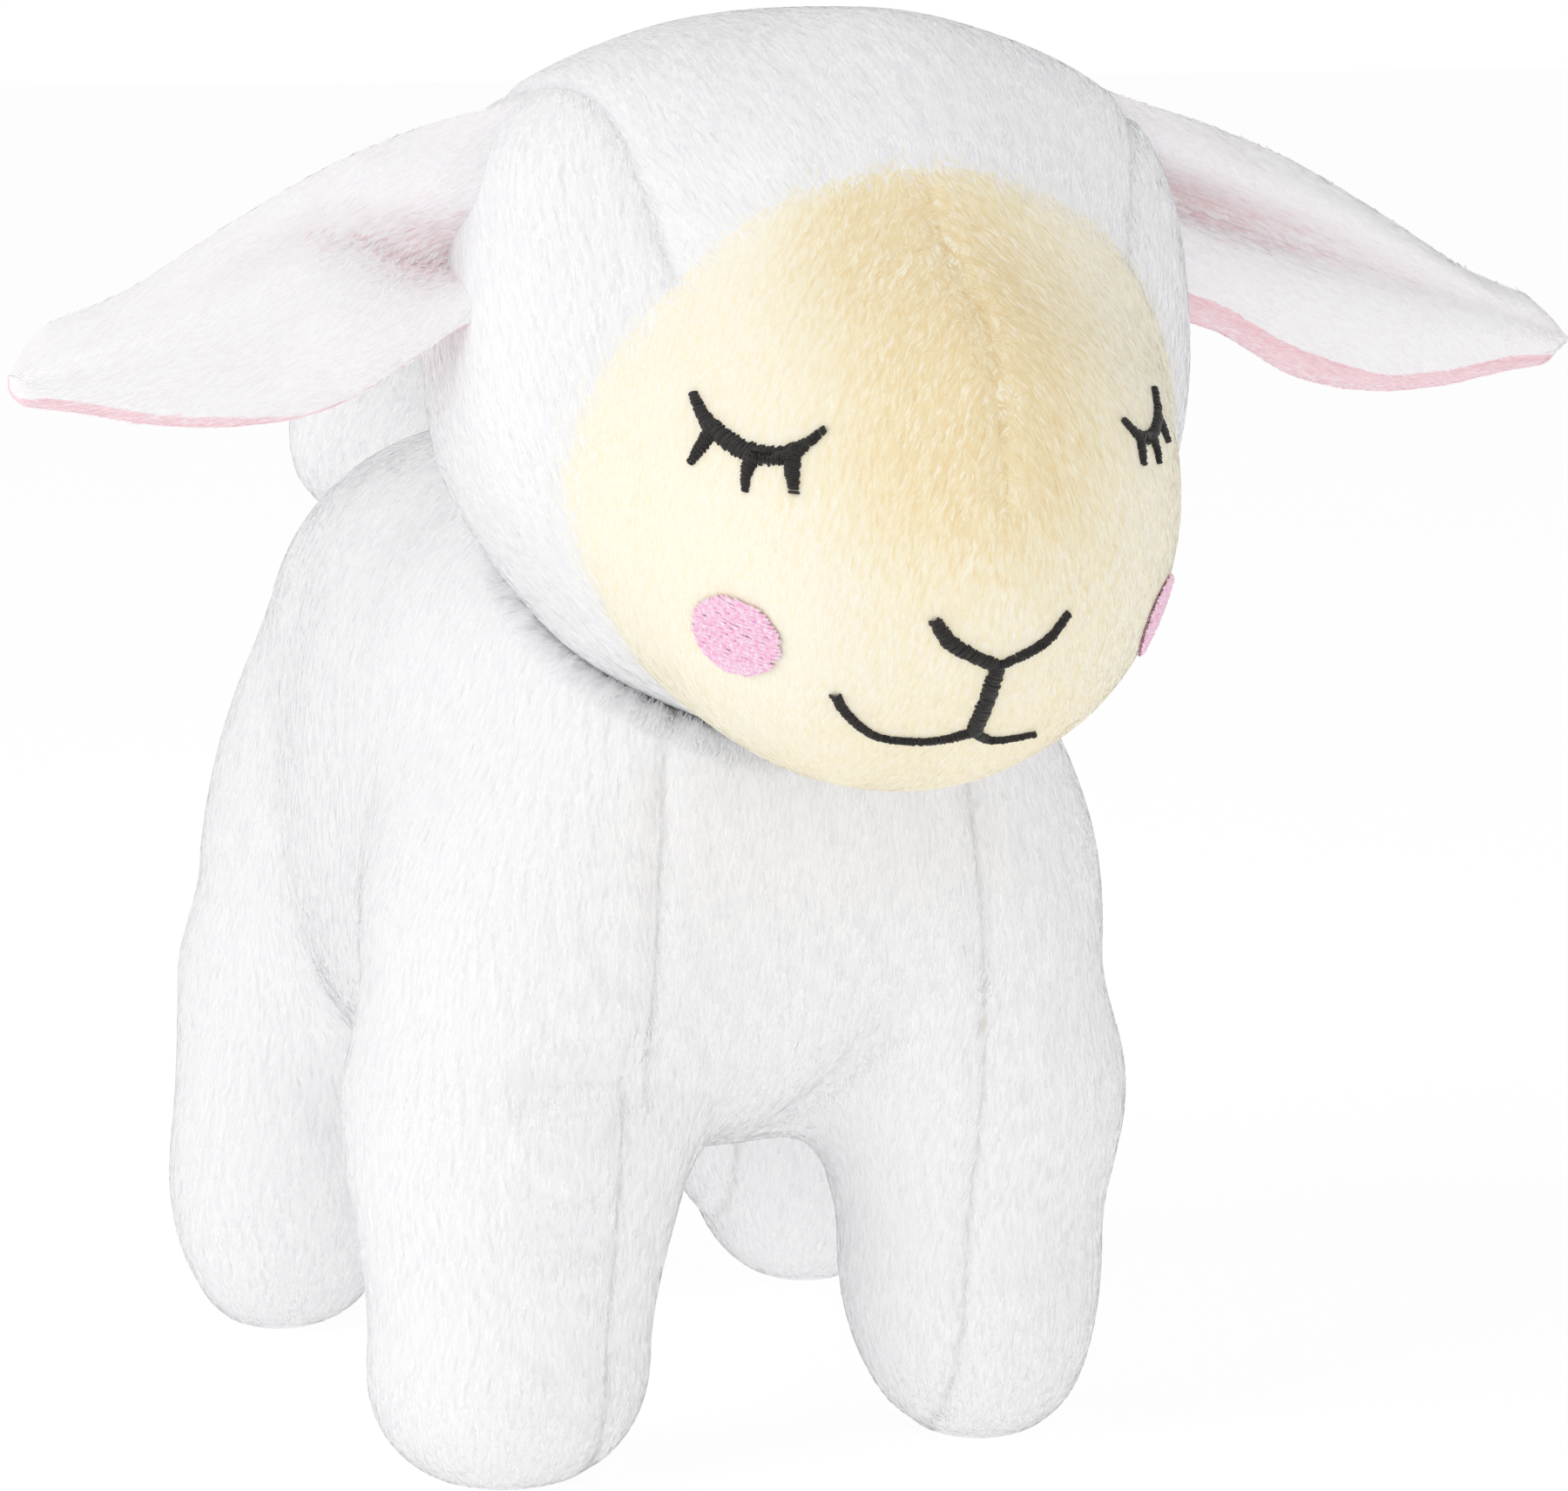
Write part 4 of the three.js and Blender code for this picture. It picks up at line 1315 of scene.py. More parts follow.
    def cheek_axes(self, side: Side) -> tuple[Array, Array, Array, Array]:
        """The middle of a cheek, its long and short directions and its outward one.

        Args:
            side: which side of the face.

        Returns:
            A place and three directions.
        """
        middle, out = self.on_face(np.array([self.cheek_middle]) * (side.value, 1))
        along = unit(np.cross((0, 0, 1), out[0]))
        return middle[0], along, np.cross(out[0], along), out[0]

    def oval(self, flat: Array, along: Array, up: Array) -> Array:
        """Below 1 inside a cheek's oval, for offsets from its middle."""
        return ((flat @ along) / self.cheek_half[0]) ** 2 + ((flat @ up) / self.cheek_half[1]) ** 2

    def cheek(self, side: Side, draw: np.random.Generator) -> list[Skin]:
        """Rows of long stitches that fill a cheek's oval.

        Args:
            side: which side of the face.
            draw: the random source.

        Returns:
            The threads.
        """
        middle, along, up, out = self.cheek_axes(side)
        slant = math.radians(self.cheek_slant * side.value)
        row_way = along * math.cos(slant) + up * math.sin(slant)
        next_way = np.cross(out, row_way)
        threads = []
        reach = np.linspace(-self.cheek_reach, self.cheek_reach, self.cheek_samples)
        heights = np.arange(-self.cheek_rise, self.cheek_rise, self.cheek_row)
        for number, height in enumerate(heights):
            spots = middle + row_way * reach[:, None] + next_way * height
            inside = self.oval(spots - middle, along, up) < 1
            if inside.sum() < self.cheek_fewest:
                continue
            low, high = reach[inside][[0, -1]] + draw.normal(0, self.cheek_ragged, 2)
            start = low - self.cheek_stitch * ((number * self.cheek_stagger) % 1)
            for begin in np.arange(start, high, self.cheek_stitch):
                ends = np.clip([begin, begin + self.cheek_stitch], low, high)
                if ends[1] - ends[0] > self.cheek_shortest:
                    threads.append(self.long_stitch(middle, row_way, next_way, out, ends, height, draw))
        return threads

    def long_stitch(
        self, middle: Array, row_way: Array, next_way: Array, out: Array, ends: Array, height: float,
        draw: np.random.Generator,
    ) -> Skin:
        """One thread of a cheek, that dips into the cloth at both ends.

        Args:
            middle: the cheek's middle.
            row_way: the direction of the rows.
            next_way: the direction from row to row.
            out: the outward direction.
            ends: where the thread starts and ends along its row.
            height: the row's distance from the middle.
            draw: the random source.

        Returns:
            The thread.
        """
        count = len(self.cheek_lift)
        reach = np.linspace(ends[0] - self.cheek_overlap, ends[1] + self.cheek_overlap, count)
        row = height + draw.normal(0, self.cheek_jitter)
        spots = middle + row_way * reach[:, None] + next_way * row
        spots = settle(self.head.skin, spots, rounds=3, reach=6.0)
        lift = np.array(self.cheek_lift) + draw.normal(0, self.lift_jitter)
        return tube(spots + out * lift[:, None], np.full(count, self.cheek_thread), sides=5)

    def stitched(self, points: Array) -> Array:
        """Whether places lie under the embroidery, where no pile stands.

        Args:
            points: places, one a row.

        Returns:
            True under the embroidery.
        """
        covered = np.zeros(len(points), bool)
        for side in Side:
            eye, mouth = self.rows(side)
            for row in [*eye, *mouth, self.nose_stem]:
                spots, _, widths = self.line(row, side)
                close = np.flatnonzero(np.linalg.norm(points - spots.mean(0), axis=1) < self.row_room)
                gaps = np.linalg.norm(points[close][:, None] - spots[None, ::2], axis=2)
                covered[close[(gaps < widths[::2] / 2 - self.pile_overlap).any(1)]] = True
            middle, along, up, _ = self.cheek_axes(side)
            flat = points - middle
            near = np.linalg.norm(flat, axis=1) < self.cheek_room
            covered |= (self.oval(flat, along, up) < self.cheek_clear) & near
        return covered

    def build(self) -> None:
        """Makes the five pieces of embroidery."""
        draw = np.random.default_rng(31)
        for side in Side:
            eye = [thread for row in self.rows(side)[0] for thread in self.satin(row, side, draw)]
            self.add(f"eye_stitch_{side.word}", eye, BLACK_THREAD, "black_thread")
            self.add(f"cheek_stitch_{side.word}", self.cheek(side, draw), PINK_THREAD, "pink_thread")
        mouth = self.satin(self.nose_stem, Side.LEFT, draw)
        for side in Side:
            mouth += [thread for row in self.rows(side)[1] for thread in self.satin(row, side, draw)]
        self.add("nose_and_mouth_stitch", mouth, BLACK_THREAD, "black_thread")

    def add(self, node: str, threads: list[Skin], finish: Mottled, slot: str) -> None:
        """Adds one piece of embroidery in place of its node."""
        piece = link_mesh(f"{node}_threads", join(threads), self.dresser.wardrobe.get(finish))
        self.dresser.settle_piece(piece, Ride("head"), slot, (node,))


def spline(turns: Array, marks: Array) -> Array:
    """A smooth curve through evenly numbered marks.

    Args:
        turns: where along the marks, 0 at the first.
        marks: the values to pass through.

    Returns:
        The curve's values.
    """
    padded = np.concatenate([[2 * marks[0] - marks[1]], marks, [2 * marks[-1] - marks[-2]]])
    index = np.minimum(turns.astype(int), len(marks) - 2)
    t = turns - index
    a, b, c, d = (padded[index + k] for k in range(4))
    return 0.5 * (2 * b + (c - a) * t + (2 * a - 5 * b + 4 * c - d) * t**2 + (3 * b - a - 3 * c + d) * t**3)


# The ears


@dataclass(frozen=True)
class Drape:
    """How one ear falls: its size, its fold and how much lining shows below its lower edge."""

    length: float
    upper: float
    root: float
    fold_from: float
    fold_to: float
    fold_reach: float
    strip_root: float
    strip_tip: float


@dataclass
class Ear:
    """A drooping ear of two padded layers, gathered into the side of the head and folded at its root."""

    dresser: Dresser
    side: Side
    drape: Drape
    droop: float = 18.5
    sweep: float = 5.0
    upper_edge: tuple[float, ...] = (13.0, 13.9, 13.0, 9.7, 5.7, 5.3)
    lower_edge: tuple[float, ...] = (21.4, 19.6, 15.2, 9.3, 3.6)
    tip_round: float = 4.5
    layer: float = 2.7
    cup: float = 3.0
    tuck: float = 8.0
    fold_depth: float = 5.2
    fold_near: float = 0.13
    fold_far: float = 0.3
    lobe: float = 3.5
    lobe_at: float = -0.5
    lobe_width: float = 0.36
    roll: float = 1.575
    roll_at: float = 0.62
    roll_width: float = 0.34
    hem: float = 0.15
    cloth: float = 0.25
    edge_bare: float = 0.3
    lobe_fade: float = 0.7
    cup_rate: float = 4.0
    pad_round: float = 0.55
    pad_root: float = 0.7
    pad_rate: float = 6.0
    front_taper: int = 6
    back_taper: int = 2
    half_gap: float = 0.05
    strip_from: float = 0.2
    strip_run: float = 0.3
    strip_end: float = 0.1
    strip_limits: Pair = (0.02, 0.3)
    tip_hem: float = 1.9
    tip_hem_from: float = 0.86
    tip_hem_run: float = 0.1
    fold_flush: float = 2.1
    root_flush: float = 0.5
    root_flush_reach: float = 0.3
    outer_pale: float = 1.3
    seam_rose: float = 1.4
    seam_rose_at: float = -0.8
    seam_rose_width: float = 0.1
    lining_pale: float = 0.7
    bend_from: float = -1.0
    bend_to: float = 9.0
    outer_pile: Pile = Pile(length=1.7, streak_tone=0.4, streak_relief=0.06)
    lining_pile: Pile = Pile(length=1.2, streak_tone=0.4, streak_relief=0.06)
    outer_fall: float = 0.35
    lining_fall: float = 0.1
    columns: int = 72
    rows: int = 44
    turned_rows: int = 9
    turned_spread: float = 1.5
    tip_crowding: float = 0.35

    @property
    def root(self) -> Array:
        """The middle of the sewn root."""
        return pivot(f"ear_{self.side.word}_flap")

    @property
    def upward(self) -> Array:
        """The direction of the root seam."""
        return axis(f"ear_{self.side.word}_flap")

    @property
    def lengthwise(self) -> Array:
        """The direction from the root to the tip."""
        droop = math.radians(self.droop)
        return np.array([self.side.value * math.cos(droop), 0, -math.sin(droop)])

    def edges(self, reach: Array) -> tuple[Array, Array]:
        """Heights of the upper and lower edges above and below the middle line.

        Args:
            reach: distances from the root.

        Returns:
            The two heights, both above zero.
        """
        turns = np.clip(reach / self.drape.length, 0, 1) * (len(self.upper_edge) - 1)
        closing = np.clip((reach - self.drape.length + self.tip_round) / self.tip_round, 0, 1)
        shrink = np.sqrt(np.maximum(1 - closing**2, 1e-4))
        upper = spline(turns, np.array(self.upper_edge)) * self.drape.upper
        return upper * shrink, spline(turns, np.array((self.drape.root, *self.lower_edge))) * shrink

    def crease(self, share: Array, cross: Array) -> tuple[Array, Array, Array]:
        """The fold at the root: distance across it, how much of it is left and how deep it is there.

        Args:
            share: distance from the root as a share of the length.
            cross: -1 at the lower edge, 1 at the upper.

        Returns:
            Distances, and two shares from 0 to 1.
        """
        line = lerp(self.drape.fold_from, self.drape.fold_to, np.clip(share / self.drape.fold_reach, 0, 1))
        off = cross - line
        fading = bell(share, self.drape.fold_reach)
        return off, fading, fading * bell(off, np.where(off < 0, self.fold_near, self.fold_far))

    def unfold(self, points: Array) -> tuple[Array, Array]:
        """How far places on the ear lie from its root as a share, and across it as in surface.

        Args:
            points: places, one a row.

        Returns:
            Shares of the length, and places across from -1 to 1.
        """
        plane = np.stack([self.lengthwise[[0, 2]], self.upward[[0, 2]]], 1)
        reach, rise = np.linalg.solve(plane, (points - self.root)[:, [0, 2]].T)
        upper, lower = self.edges(reach)
        return np.clip(reach / self.drape.length, 0, 1), rise / np.where(rise > 0, upper, lower)

    def flush(self, points: Array) -> Array:
        """How far the outer layer's tones lean to pink: most in the fold, as painted shade there, and a
        little at the root, partly a pink tint and partly painted shade.

        Args:
            points: places, one a row.

        Returns:
            What the tones lean by, as in grow_pile.
        """
        share, cross = self.unfold(points)
        # Painted shade: deeper pink down in the fold
        in_fold = self.fold_flush * np.sqrt(self.crease(share, cross)[2])
        return in_fold + self.root_flush * bell(share, self.root_flush_reach) - self.outer_pale

    def rosiness(self, points: Array) -> Array:
        """How far the lining's tones lean to the deep ones: most along the seam that shows, as painted
        shade.
        """
        off = self.unfold(points)[1] - self.seam_rose_at
        # Painted shade: deeper pink along the seam
        return self.seam_rose * bell(off, self.seam_rose_width) - self.lining_pale

    def surface(self, reach: Array, cross: Array, face: Array) -> Array:
        """Places on the ear.

        Args:
            reach: distance from the root.
            cross: -1 at the lower edge, 1 at the upper.
            face: 1 on the front, -1 on the back.

        Returns:
            Places.
        """
        share = np.clip(reach / self.drape.length, 0, 1)
        upper, lower = self.edges(reach)
        rise = np.where(cross > 0, cross * upper, cross * lower)
        off, fading, fold = self.crease(share, cross)
        lobe = bell(off - self.lobe_at, self.lobe_width) * (1 - self.lobe_fade * share)
        roll = bell(off - self.roll_at, self.roll_width) * fading
        back = self.sweep * share + self.cup * cross**2 * ease(share * self.cup_rate)
        back = back + self.fold_depth * fold - self.lobe * lobe - self.roll * roll
        pad = self.layer * np.maximum(1 - cross**2, 0) ** self.pad_round
        pad = pad * lerp(self.pad_root, 1, ease(share * self.pad_rate))
        pad = pad * np.where(face > 0, 1 - share**self.front_taper, 1 - share**self.back_taper)
        points = self.root + reach[:, None] * self.lengthwise + rise[:, None] * self.upward
        points[:, 1] += back - face * (pad + self.half_gap)
        return points

    def patch(self, crosses: Array, faces: Array) -> Skin:
        """A grid over part of the ear.

        Args:
            crosses: places across the ear, a row for each column of the grid.
            faces: 1 or -1 for each of them, as in surface.

        Returns:
            The grid, facing outward.
        """
        columns, rows = crosses.shape
        reach = np.repeat(self.stations(), rows)
        points = self.surface(reach, crosses.ravel(), faces.ravel())
        index = np.arange(columns * rows).reshape(columns, rows)
        quads = np.stack([index[:-1, :-1], index[1:, :-1], index[1:, 1:], index[:-1, 1:]], -1)
        quads = quads.reshape(-1, 4)
        return Skin(points, quads if self.side is Side.LEFT else quads[:, ::-1])

    def stations(self) -> Array:
        """Places of the grid's columns, closer together at the tip.

        Returns:
            Distances from the root.
        """
        run = np.linspace(0, 1, self.columns)
        crowded = np.sin(run * math.pi / 2) * self.tip_crowding + run * (1 - self.tip_crowding)
        return lerp(-self.tuck, self.drape.length, crowded)

    def layers(self) -> tuple[Skin, Skin]:
        """The outer layer in front, and the lining that shows behind and round the lower edge.

        The outer layer turns over the upper edge and the tip.

        Returns:
            The outer layer and the lining.
        """
        reach = self.stations()
        _, lower = self.edges(reach)
        share = np.clip(reach / self.drape.length, 0, 1)
        widening = ease((share - self.strip_from) / self.strip_run)
        strip = lerp(self.drape.strip_root, self.drape.strip_tip, widening)
        strip = strip * ease((1 - share) / self.strip_end) / np.maximum(lower, 1)
        seam = -1 + np.clip(strip, *self.strip_limits)[:, None]
        turning = ease((share - self.tip_hem_from) / self.tip_hem_run)
        hem = 1 - lerp(self.hem, self.tip_hem, turning)[:, None]
        spread = (1 - np.cos(np.linspace(0, math.pi, self.rows))) / 2
        front, behind = seam + (1 - seam) * spread, -1 + (hem + 1) * spread
        over = 1 + (hem - 1) * np.linspace(0, 1, self.turned_rows)[1:]
        under = -1 + (seam + 1) * np.linspace(1, 0, self.turned_rows)[:-1] ** self.turned_spread
        sheets = []
        for shown, hidden in ((front, over), (under, behind)):
            facing = np.concatenate([np.ones_like(shown), -np.ones_like(hidden)], 1)
            sheets.append(self.patch(np.concatenate([shown, hidden], 1), facing))
        outer, lining = sheets
        return outer, Skin(lining.points, lining.faces[:, ::-1])

    def build(self) -> None:
        """Makes both layers and their pile."""
        word = self.side.word
        start, end = (self.root + reach * self.lengthwise for reach in (self.bend_from, self.bend_to))
        rides = Ride("head", f"ear_{word}", tuple(start), tuple(end))
        draw = np.random.default_rng(41 + self.side.value)
        outer, lining = self.layers()
        front = (f"ear_outer_{word}", outer, EAR_BACKING, EAR_PILE, "white_plush")
        behind = (f"ear_lining_{word}", lining, PINK_BACKING, PINK_PILE, "pink_plush")
        for node, skin, backing, fibres, slot in (front, behind):
            piece = self.dresser.panel(node, skin, backing, slot, rides, self.cloth)
            outside = slot == "white_plush"
            pile = self.outer_pile if outside else self.lining_pile
            places, normals = skin.scatter(pile.density, draw)
            # The turned edge stays bare, where blades would show their backs
            flat = np.abs(normals[:, 1]) > self.edge_bare
            places, normals = places[flat], normals[flat]
            fall = self.outer_fall if outside else self.lining_fall
            comb = np.tile(self.lengthwise - np.array([0, 0, fall]), (len(places), 1))
            lean = self.flush(places) if outside else self.rosiness(places)
            self.dresser.plush(node, (places, normals), comb, pile, lean, fibres, slot, rides, draw)


# The body and legs


@dataclass(frozen=True)
class Leg:
    """One leg's place and size."""

    name: str
    side: Side
    foot_out: float
    foot: float
    shift: float
    foot_round: float
    hip_radius: float
    swelling: Triple
    swelling_rise: float

    @property
    def hip(self) -> Array:
        """The middle of the ball at the top of the leg."""
        return pivot(f"{self.name}_leg_swing") + (self.shift, 0, 0)


@dataclass(frozen=True)
class Fold:
    """A soft crease in the front of the cloth, from one place across and above the floor to another."""

    start: Pair
    end: Pair
    width: float
    depth: float
    fade: float = 10.0
    front: float = -30.0

    def dip(self, points: Array) -> Array:
        """How far the crease draws the cloth in.

        Args:
            points: places, one a row.

        Returns:
            Depths, from 0 to the crease's own.
        """
        start, run = np.array(self.start), np.subtract(self.end, self.start)
        length = math.hypot(*run)
        offset = points[:, [0, 2]] - start
        along, across = offset @ run / length, (offset[:, 0] * run[1] - offset[:, 1] * run[0]) / length
        fading = ease(along / self.fade + 0.5) * ease((length - along) / self.fade + 0.5)
        return fading * (points[:, 1] < self.front) * groove(across, self.width, self.depth)


@dataclass(frozen=True)
class SeamEnds:
    """Where the body's seams stop: places, and the lengths over which they fade."""

    chest_fade: float = 6.0
    neck_gap: float = 2.0
    neck_fade: float = 5.0
    belly_fade: float = 3.0
    limb_fade: float = 2.0
    corner_out: float = 3.0
    corner_fade: float = 4.0
    inner_from: float = 9.0
    inner_fade: float = 5.0
    flank_at: float = 20.0
    flank_half: float = 17.0
    flank_fade: float = 6.0
    leg_depth: float = 14.0
    leg_fade: float = 6.0
    leg_top: float = 64.0
    leg_top_fade: float = 8.0
    spine_fade: float = 8.0
    spine_low: float = 60.0
    spine_low_fade: float = 10.0


@dataclass
class Trunk:
    """A long barrel with a swelling over each leg, and the four legs sewn into it."""

    dresser: Dresser
    head: Head
    middle: Triple = (0.0, 18.6, 86.5)
    half: Triple = (46.0, 74.0, 48.5)
    squareness: float = 3.0
    blend: float = 10.0
    chest_sway: float = -2.5
    rump_sway: float = 5.0
    haunch_inset: float = 2.5
    foot_squareness: float = 2.3
    sole_cut: float = 0.5
    leg_blend: float = 4.5
    seam_depth: float = 0.8
    leg_seam: float = 6.0
    chest_back: float = -15.4
    chest_foot: float = 24.0
    chest_top: float = 18.0
    chest_rise: float = 92.0
    belly_seam: float = 54.0
    belly_dip: float = 12.0
    seam_ends: SeamEnds = SeamEnds()
    seam_width: float = 1.4
    seam_shade: float = 2.3
    seam_shade_width: float = 0.55
    sole_fade: float = 8.0
    leg_panel_top: float = 74.0
    neck_gap: float = 0.5
    head_reach: float = 100.0
    far_off: float = 99.0
    pile_gap: float = 0.2
    pile_floor: float = 0.6
    pile_comb: Triple = (0.0, 0.18, -1.0)
    cell: float = 1.55
    legs: tuple[Leg, ...] = (
        Leg("front_left", Side.LEFT, 3.0, 18.2, -0.4, 28.0, 22.0, (21.0, 24.0, 36.0), 20.0),
        Leg("front_right", Side.RIGHT, 2.0, 18.9, 2.4, 17.0, 23.2, (22.0, 24.0, 36.0), 16.0),
        Leg("rear_left", Side.LEFT, 10.0, 18.0, 2.2, 28.0, 22.0, (20.5, 24.0, 32.0), 12.0),
        Leg("rear_right", Side.RIGHT, 4.8, 18.4, -3.0, 28.0, 19.0, (17.0, 24.0, 36.0), 15.0),
    )
    folds: tuple[Fold, ...] = (
        Fold((13.3, 62.6), (0.6, 46.0), 3.0, 1.9),
        Fold((-40.0, 56.0), (-26.5, 57.6), 2.8, 1.6),
        Fold((-39.0, 36.8), (-28.0, 35.4), 2.8, 1.2),
    )
    turn_room: float = 0.3
    neck_from: float = 42.0
    neck_to: float = 64.0
    leg_bend_from: float = 43.0
    leg_bend_to: float = 18.0
    slack: float = 0.45
    slack_length: float = 38.0
    room_low: Triple = (-66.0, -66.0, -3.0)
    room_high: Triple = (66.0, 102.0, 142.0)
    closing: float = 5.0
    closing_length: float = 1.2
    closing_pull: float = 2.0
    filling_inset: float = 3.4
    filling_neck: float = 2.2
    filling_hip: float = 1.6
    filling_cell: float = 4.0
    leg_room_low: Triple = (34.0, 30.0, 54.0)
    leg_room_high: Triple = (34.0, 30.0, 28.0)
    leg_filling_inset: float = 3.2
    leg_filling_lump: float = 0.5
    leg_filling_pitch: float = 12.0
    leg_filling_cell: float = 3.0

    def sway(self, y: Array) -> Array:
        """How far the body's middle line lies to the left."""
        front, rear = self.legs[0].hip[1], self.legs[2].hip[1]
        return lerp(self.chest_sway, self.rump_sway, ease((y - front) / (rear - front)))

    def barrel(self, points: Array, plain: bool = False) -> Array:
        """The body without its legs, and without the swellings over them where it is plain.

        Args:
            points: places, one a row.
            plain: whether the swellings are left out.

        Returns:
            Distances, below zero inside.
        """
        straight = points - np.stack([self.sway(points[:, 1]), *np.zeros((2, len(points)))], 1)
        skin = lump(straight, np.array(self.middle), np.array(self.half), self.squareness)
        if plain:
            return skin
        for leg in self.legs:
            at = leg.hip + (-leg.side.value * self.haunch_inset, 0, leg.swelling_rise)
            at[0] -= self.sway(leg.hip[1])
            skin = melt(skin, lump(straight, at, np.array(leg.swelling), 2), self.blend)
        return skin

    def limb(self, points: Array, leg: Leg) -> Array:
        """One leg: a rounded foot with a flat sole, a taper and a ball at the hip.

        Args:
            points: places, one a row.
            leg: which leg.

        Returns:
            Distances, below zero inside.
        """
        hip, rise = leg.hip, points[:, 2]
        lean = leg.side.value * leg.foot_out * np.maximum(1 - rise / hip[2], 0)
        reach = np.hypot(points[:, 0] - hip[0] - lean, points[:, 1] - hip[1])
        ball = np.hypot(reach, rise - hip[2]) - leg.hip_radius
        share = ease((rise - leg.foot_round) / (hip[2] - leg.foot_round))
        taper = reach - lerp(leg.foot, leg.hip_radius, share)
        drop = np.maximum(leg.foot_round - rise, 0)
        deep, power = leg.foot_round + self.sole_cut, self.foot_squareness
        round_off = ((reach / leg.foot) ** power + (drop / deep) ** power) ** (1 / power)
        foot = np.hypot(reach, drop) * (1 - 1 / np.maximum(round_off, 1e-9))
        upper = np.where(rise >= hip[2], ball, taper)
        return np.maximum(np.where(rise >= leg.foot_round, upper, foot), -rise)

    def head_room(self, points: Array) -> Array:
        """Distance outside the head as it turns part of the way; beyond that the soft cloth gives.

        Args:
            points: places, one a row.

        Returns:
            Distances, below zero inside the head.
        """
        room = np.full(len(points), self.far_off)
        near = np.linalg.norm(points - self.head.centre, axis=1) < self.head_reach
        local = points[near] - self.head.centre
        best = np.full(near.sum(), self.far_off)
        turn = self.turn_room * math.radians(JOINTS["head_turn"]["range_deg"][1])
        for turned in (-turn, 0.0, turn):
            still = spin(local, axis("head_turn"), -turned)
            best = np.minimum(best, self.head.form(still + self.head.centre))
        room[near] = best
        return room

    def seams(self, points: Array, width: float) -> Array:
        """1 on the seams, and near 0 beyond the width.

        Args:
            points: places, one a row.
            width: how far a seam's groove or its painted shade reaches.

        Returns:
            Shares from 0 to 1.
        """
        x, y, z = points.T
        ends = self.seam_ends
        chest = np.abs(x) - self.chest_edge(z)
        ahead = ease((self.chest_back - y) / ends.chest_fade)
        ahead = ahead * ease((self.head.form(points) - ends.neck_gap) / ends.neck_fade)
        above = ease((z - self.belly_seam + ends.belly_fade) / ends.belly_fade)
        lines = ahead * above * bell(chest, width)
        on_trunk = ease((self.nearest_limb(points) - self.barrel(points)) / ends.limb_fade)
        beside = ease((self.chest_foot + ends.corner_out - np.abs(x)) / ends.corner_fade)
        beside = beside * ease((np.abs(x) - ends.inner_from) / ends.inner_fade)
        flank = ease((ends.flank_half - np.abs(y - ends.flank_at)) / ends.flank_fade)
        between = np.maximum(beside, flank)
        lines = np.maximum(lines, on_trunk * between * bell(z - self.belly_line(points), width))
        for leg in self.legs:
            near = ease((ends.leg_depth - np.abs(self.limb(points, leg))) / ends.leg_fade)
            near = near * ease((ends.leg_top - z) / ends.leg_top_fade)
            lines = np.maximum(lines, near * bell(x - self.seam_of(leg), width))
        spine = ease(y / ends.spine_fade) * ease((z - ends.spine_low) / ends.spine_low_fade)
        return np.maximum(lines, spine * bell(x, width))

    def chest_edge(self, z: Array) -> Array:
        """Half the width of the chest panel at a height."""
        return lerp(self.chest_foot, self.chest_top, (z - self.belly_seam) / self.chest_rise)

    def seam_of(self, leg: Leg) -> float:
        """Where a leg's front and back seams lie across the body."""
        return leg.hip[0] - leg.side.value * self.leg_seam

    def belly_line(self, points: Array) -> Array:
        """Height of the seam round the belly panel, lower in the middle."""
        arch = np.clip((points[:, 0] / self.chest_foot) ** 2, 0, 1)
        return self.belly_seam - self.belly_dip * (1 - arch)

    def nearest_limb(self, points: Array) -> Array:
        """Distance outside the nearest leg."""
        return np.min([self.limb(points, leg) for leg in self.legs], axis=0)

    def form(self, points: Array) -> Array:
        """The body and legs without their seams, with the hollow that the head sits in.

        Args:
            points: places, one a row.

        Returns:
            Distances, below zero inside.
        """
        whole = self.barrel(points)
        for leg in self.legs:
            whole = melt(whole, self.limb(points, leg), self.leg_blend)
        return np.maximum(np.maximum(whole, self.neck_gap - self.head_room(points)), -points[:, 2])

    def skin(self, points: Array) -> Array:
        """The body's and legs' cloth, drawn in at its seams.

        Args:
            points: places, one a row.

        Returns:
            Distances, below zero inside.
        """
        dips = self.seam_depth * self.seams(points, self.seam_width)
        for fold in self.folds:
            dips = np.maximum(dips, fold.dip(points))
        dips = dips - self.slack * ripple(points, self.slack_length, seed=7)
        whole = self.form(points) + ease(points[:, 2] / self.sole_fade) * dips
        return np.maximum(whole, -points[:, 2])

    def label(self, points: Array) -> Array:
        """The number of the panel that holds each place.

        Args:
            points: places, one a row.

        Returns:
            Panel numbers, in the order of panel_names.
        """
        x, y, z = points.T
        limbs = np.array([self.limb(points, leg) for leg in self.legs])
        panel = np.where(x > 0, 0, 1)
        chest = np.abs(x) < self.chest_edge(z)
        panel = np.where(chest & (y < self.chest_back), 2, panel)
        panel = np.where(z < self.belly_line(points), 3, panel)
        owner = limbs.argmin(0)
        sides = np.array([leg.side.value for leg in self.legs])[owner]
        seams = np.array([self.seam_of(leg) for leg in self.legs])[owner]
        outer = sides * (x - seams) > 0
        low = (limbs.min(0) < self.barrel(points, plain=True)) & (z < self.leg_panel_top)
        return np.where(low, 4 + 2 * owner + np.where(outer, 0, 1), panel)

    def panel_names(self) -> list[str]:
        """The nodes in the order of their numbers.

        Returns:
            The names.
        """
        names = ["body_side_left", "body_side_right", "chest_panel", "belly_panel"]
        for leg in self.legs:
            names += [f"{leg.name}_leg_outer", f"{leg.name}_leg_inner"]
        return names

